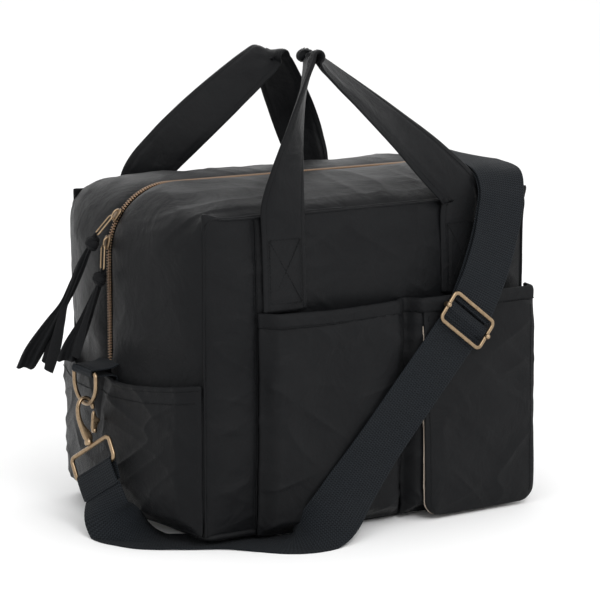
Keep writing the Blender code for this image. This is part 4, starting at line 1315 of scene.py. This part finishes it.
BUCKLE_AT = np.array((0.0880, -0.1580, 0.1890))
BUCKLE_SIDE = unit(np.array((0.79, 0.0, -0.613)))
BUCKLE_UP = unit(np.array((0.613, 0.0, 0.79)))
BUCKLE_W = 0.056
BUCKLE_H = 0.030
BUCKLE_R = 0.0019
BUCKLE_BAR_R = 0.0013
KNOB_R = 0.0027


def run_stations():
    """The strap's middle line and width direction, from the left loop under the corner to the buckle."""
    down = hang(-1, -1, LOOP_LEAN)
    start = loop_top(-1, -1) + down * (LOOP_H + STRAP_TAIL + 0.0035)
    lie = BUCKLE_AT + np.array((0.0, 0.0052, 0.0))
    return [
        (start, loop_side(-1)),
        ((-0.2335, -0.0430, 0.0215), (-0.56, 0.72, -0.40)),
        ((-0.2250, -0.0600, 0.0088), (-0.86, 0.36, -0.24)),
        ((-0.2030, -0.0780, 0.0016), (-0.90, -0.40, -0.01)),
        ((-0.1780, -0.0950, 0.0013), (-0.70, -0.70, 0.0)),
        ((-0.1480, -0.1130, 0.0013), (-0.48, -0.87, 0.0)),
        ((-0.1240, -0.1380, 0.0013), (-0.30, -0.95, 0.0)),
        ((-0.1020, -0.1600, 0.0046), (-0.02, -0.97, -0.10)),
        ((-0.0720, -0.1655, 0.0205), (0.38, -0.62, -0.60)),
        ((-0.038, -0.1560, 0.0490), (0.62, -0.20, -0.70)),
        ((-0.008, -0.1530, 0.0810), (0.70, -0.02, -0.70)),
        ((0.026, -0.1530, 0.1190), (0.70, 0.0, -0.70)),
        ((0.056, -0.1530, 0.1520), (0.74, 0.0, -0.66)),
        (lie - BUCKLE_UP * 0.016, BUCKLE_SIDE),
        (lie - BUCKLE_UP * 0.0065 + np.array((0.0, -0.0022, 0.0)), BUCKLE_SIDE),
        (lie + np.array((0.0, -0.0047, 0.0)), BUCKLE_SIDE),
        (lie + BUCKLE_UP * 0.0065 + np.array((0.0, -0.0022, 0.0)), BUCKLE_SIDE),
    ]


def upper_stations():
    """The same for the doubled strap, from the buckle over the top to the right loop."""
    lie = BUCKLE_AT + np.array((0.0, 0.0050, 0.0))
    stop = loop_top(1, 1) + hang(1, 1) * (LOOP_H + STRAP_TAIL + 0.0035)
    return [
        (lie + BUCKLE_UP * 0.0100, BUCKLE_SIDE),
        ((0.1080, -0.1525, 0.2240), (0.90, 0.0, -0.43)),
        ((0.1220, -0.1500, 0.2560), (0.96, 0.0, -0.28)),
        ((0.1310, -0.1470, 0.2840), (0.98, 0.0, -0.18)),
        ((0.1370, -0.1420, 0.3060), (0.99, 0.0, -0.12)),
        ((0.1420, -0.1270, 0.3230), (0.98, -0.15, -0.06)),
        ((0.1500, -0.0860, 0.3270), (0.92, -0.36, -0.08)),
        ((0.1640, -0.0500, 0.3270), (0.76, -0.60, -0.20)),
        ((0.1880, -0.0260, 0.3180), (0.50, -0.78, -0.34)),
        ((0.2110, -0.0090, 0.2990), (0.25, -0.95, -0.20)),
        ((stop[0], -0.0005, 0.2800), (0.0, -1.0, 0.0)),
        (stop, (0.0, -1.0, 0.0)),
    ]


def make_strap():
    """The strap's three bands: the run up to the buckle, and the doubled strap's outer and inner layers."""
    below = ("root", "flap", (0.010, -0.153, 0.10), (0.066, -0.153, 0.16))
    above = ("flap", "root", (0.094, -0.153, 0.20), (0.118, -0.151, 0.245))
    runs = (
        ("strap_run", run_stations(), 420, 0.0, below),
        ("strap_outer", upper_stations(), 300, -LAYER_STEP / 2, above),
        ("strap_inner", upper_stations(), 300, LAYER_STEP / 2, above),
    )
    for name, stations, rows, shift, (first, second, start, end) in runs:
        grid = band_grid(stations, STRAP_W, 24, rows, shift, floor=STRAP_T / 2 + 0.0002)
        across = np.linspace(-1, 1, 25)[:, None]
        wave = 0.0007 * noise(across * 0.8, np.linspace(0, rows / 45, rows + 1)[None, :], 81.5 + shift * 300)
        grid = grid + grid_normals(grid) * (wave + STRAP_T / 2)[..., None]
        grid[..., 2] = np.maximum(grid[..., 2], STRAP_T / 2 + 0.0002)
        strap = build(name + "_webbing", [shell(grid, STRAP_T)], WEBBING)
        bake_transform(strap)
        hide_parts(name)


def make_buckle():
    """The slider buckle: a flattened frame, its middle bar and the knobs at the bar's ends."""
    frame_line = [BUCKLE_AT + BUCKLE_SIDE * x + BUCKLE_UP * y
                  for x, y in rounded_rectangle(BUCKLE_W, BUCKLE_H, 0.0048, 9)]
    out = (0.0, -1.0, 0.0)
    body = tube(frame_line, BUCKLE_R, 18, closed=True, squash=0.72, up=out)
    buckle = build("buckle_metal", [body], BRASS)
    place(buckle, "buckle", "antique_brass", "buckle_frame")
    half = BUCKLE_W / 2 + 0.0010
    middle = BUCKLE_AT + np.array((0.0, 0.0031, 0.0))
    line = [middle + BUCKLE_SIDE * x for x in np.linspace(-half, half, 12)]
    knobs = []
    for sign in (-1, 1):
        centre = BUCKLE_AT + BUCKLE_SIDE * sign * (BUCKLE_W / 2 + 0.0006)
        knob = [centre + np.array((0.0, y, 0.0)) for y in (0.0026, 0.0, -0.0012)]
        knobs.append(tube(knob, KNOB_R, 16))
    bar = build("buckle_bar_metal", [tube(line, BUCKLE_BAR_R, 14), *knobs], BRASS)
    place(bar, "buckle", "antique_brass", "buckle_bar")


# ---------------------------------------------------------------- zip pulls and ribbons

SLIDER_CENTRE = np.array((-(HALF_W + END_BULGE - CROWN_R), 0.0, HEIGHT + TOP_BULGE - CROWN_R))
PULLS = {
    "upper": (34.0, np.array((-0.80, 0.30, -1.0))),
    "lower": (10.0, np.array((-0.12, -0.12, -1.0))),
}


def pull_hinge(angle):
    """The middle of a pull's hinge, under its slider's bridge."""
    away, ahead = corner_axes(angle)
    return SLIDER_CENTRE + away * (CROWN_R + 0.0016 + 0.0014 + 0.0036) - ahead * 0.0035


def make_pull(name):
    """The narrow wire loop on a slider, and the ribbon tied to it."""
    angle, drop = PULLS[name]
    hinge, drop = pull_hinge(angle), unit(drop)
    side = unit(np.array((0.0, 1.0, 0.0)) - drop * drop[1])
    points = [hinge + side * x + drop * (y + 0.011) for x, y in rounded_rectangle(0.0062, 0.022, 0.0029, 7)]
    pull = build("pull_ring_" + name, [tube(points, 0.0009, 12, closed=True)], BRASS)
    place(pull, "pull_" + name, "antique_brass", "zip_pull_" + name)
    make_ribbon(name, hinge + drop * 0.0225, RIBBONS[name])


RIBBONS = {
    "upper": [
        [((0.0, 0.0, 0.002), 0.006), ((-0.003, 0.003, -0.008), 0.007), ((-0.007, 0.010, -0.022), 0.013),
         ((-0.011, 0.020, -0.042), 0.012), ((-0.015, 0.033, -0.064), 0.008), ((-0.020, 0.038, -0.084), 0.014),
         ((-0.026, 0.042, -0.108), 0.018), ((-0.031, 0.046, -0.128), 0.017)],
        [((0.0, 0.001, 0.001), 0.006), ((-0.004, 0.004, -0.009), 0.007), ((-0.009, 0.013, -0.026), 0.012),
         ((-0.013, 0.024, -0.048), 0.010), ((-0.017, 0.035, -0.068), 0.007), ((-0.025, 0.046, -0.090), 0.013),
         ((-0.036, 0.060, -0.116), 0.017), ((-0.042, 0.066, -0.132), 0.016)],
    ],
    "lower": [
        [((0.0, 0.0, 0.002), 0.006), ((-0.002, 0.002, -0.008), 0.007), ((-0.006, 0.006, -0.026), 0.012),
         ((-0.012, 0.011, -0.045), 0.010), ((-0.017, 0.015, -0.062), 0.012),
         ((-0.022, 0.019, -0.078), 0.015)],
        [((0.001, -0.001, 0.001), 0.006), ((-0.001, 0.003, -0.010), 0.007), ((-0.007, 0.010, -0.030), 0.011),
         ((-0.014, 0.015, -0.052), 0.012), ((-0.023, 0.020, -0.074), 0.016),
         ((-0.027, 0.023, -0.086), 0.016)],
    ],
}


def make_ribbon(name, top, tails):
    """A strip of the bag's cloth tied to the pull: a knot and two creased tails."""
    parts = []
    for k, tail in enumerate(tails):
        keys = np.array([p for p, _ in tail])
        rows = 150
        centres = top + catmull(keys, rows + 1)
        widths = catmull([(w, 0, 0) for _, w in tail], rows + 1)[:, 0]
        share = np.linspace(0, 1, rows + 1)
        spin = 0.5 + k * 0.8 + 1.5 * share + 0.5 * noise(share * 4.0, 91.5 + k)
        sides = np.stack([np.cos(spin) * 0.8, np.sin(spin), 0.25 * np.sin(spin * 1.7)], -1)
        ahead = unit(np.gradient(centres, axis=0))
        sides = unit(sides - ahead * (sides * ahead).sum(1, keepdims=True))
        up = np.cross(ahead, sides)
        across = np.linspace(-0.5, 0.5, 15)
        curl = 0.22 * np.cos(across[:, None] * 9.0 + share[None, :] * 5.0 + k) + 0.5 * across[:, None] ** 2
        grid = centres[None] + sides[None] * (across[:, None, None] * widths[None, :, None])
        grid = grid + up[None] * (curl * widths[None, :] * 0.8)[..., None]
        cut = 0.35 * across * widths[-1] * (1 if k else -1)
        grid[:, -12:] += ahead[-1] * (cut[:, None] * np.linspace(0, 1, 12)[None, :])[..., None]
        parts.append(shell(grid, 0.0009))
    ribbon = build("ribbon_cloth_" + name, parts, RIBBON)
    place(ribbon, "pull_" + name, "nylon", "ribbon_" + name)
    tied = build("ribbon_knot_" + name, knot(top + np.array(tails[0][1][0]) * 0.9), RIBBON)
    place(tied, "pull_" + name, "nylon")


def knot(centre):
    """An overhand knot of narrow cloth: three fat wraps that cross."""
    wraps = []
    for k, (tilt, radius) in enumerate(((0.2, 0.0042), (1.1, 0.0038), (-0.8, 0.0040))):
        t = np.linspace(0, 2 * math.pi, 40, endpoint=False)
        rise = radius * np.sin(t)
        ring = np.stack([radius * np.cos(t), rise * math.cos(tilt), rise * math.sin(tilt) * 1.3], -1)
        ring[:, 2] += 0.0012 * np.sin(2 * t + k)
        wraps.append(tube(centre + ring, 0.0026 + 0.0004 * np.sin(3 * t + k), 12, closed=True, squash=1.1))
    return wraps


# ---------------------------------------------------------------- everything together

def main():
    """The photo's camera and light, then every piece of the bag."""
    make_camera()
    make_studio()
    make_face("front_panel", -1)
    make_face("back_panel", 1)
    make_band("band_front", -1, "gusset_front", "end_panel_left")
    make_band("band_back", 1, "gusset_back", "end_panel_right")
    make_base()
    make_seams()
    make_zip()
    for name, (angle, _) in PULLS.items():
        make_slider(name, angle)
        make_pull(name)
    split = POCKET_SPLIT_X - 0.0005
    make_pocket("front_pocket", POCKET_LEFT_X, split, POCKET_PLANE, 0.0072, 101.5, 0.0015)
    make_pocket("flap_pocket", POCKET_SPLIT_X, POCKET_RIGHT_X, FLAP_POCKET_PLANE, 0.0014, 111.5, 0.0)
    make_flap()
    make_handle("handle_front", -1, -0.058, 0.440)
    make_handle("handle_back", 1, 0.040, 0.423)
    for end, side, drop in (("left", -1, -1), ("right", 1, 1)):
        make_side_pocket("side_pocket_" + end, side)
        make_tab("ring_tab_" + end, side)
        make_ring("ring_" + end, side, drop)
        make_hook(end, side, drop)
        make_loop(end, side, drop)
        make_strap_end(end, side, drop)
    make_strap()
    make_buckle()


main()
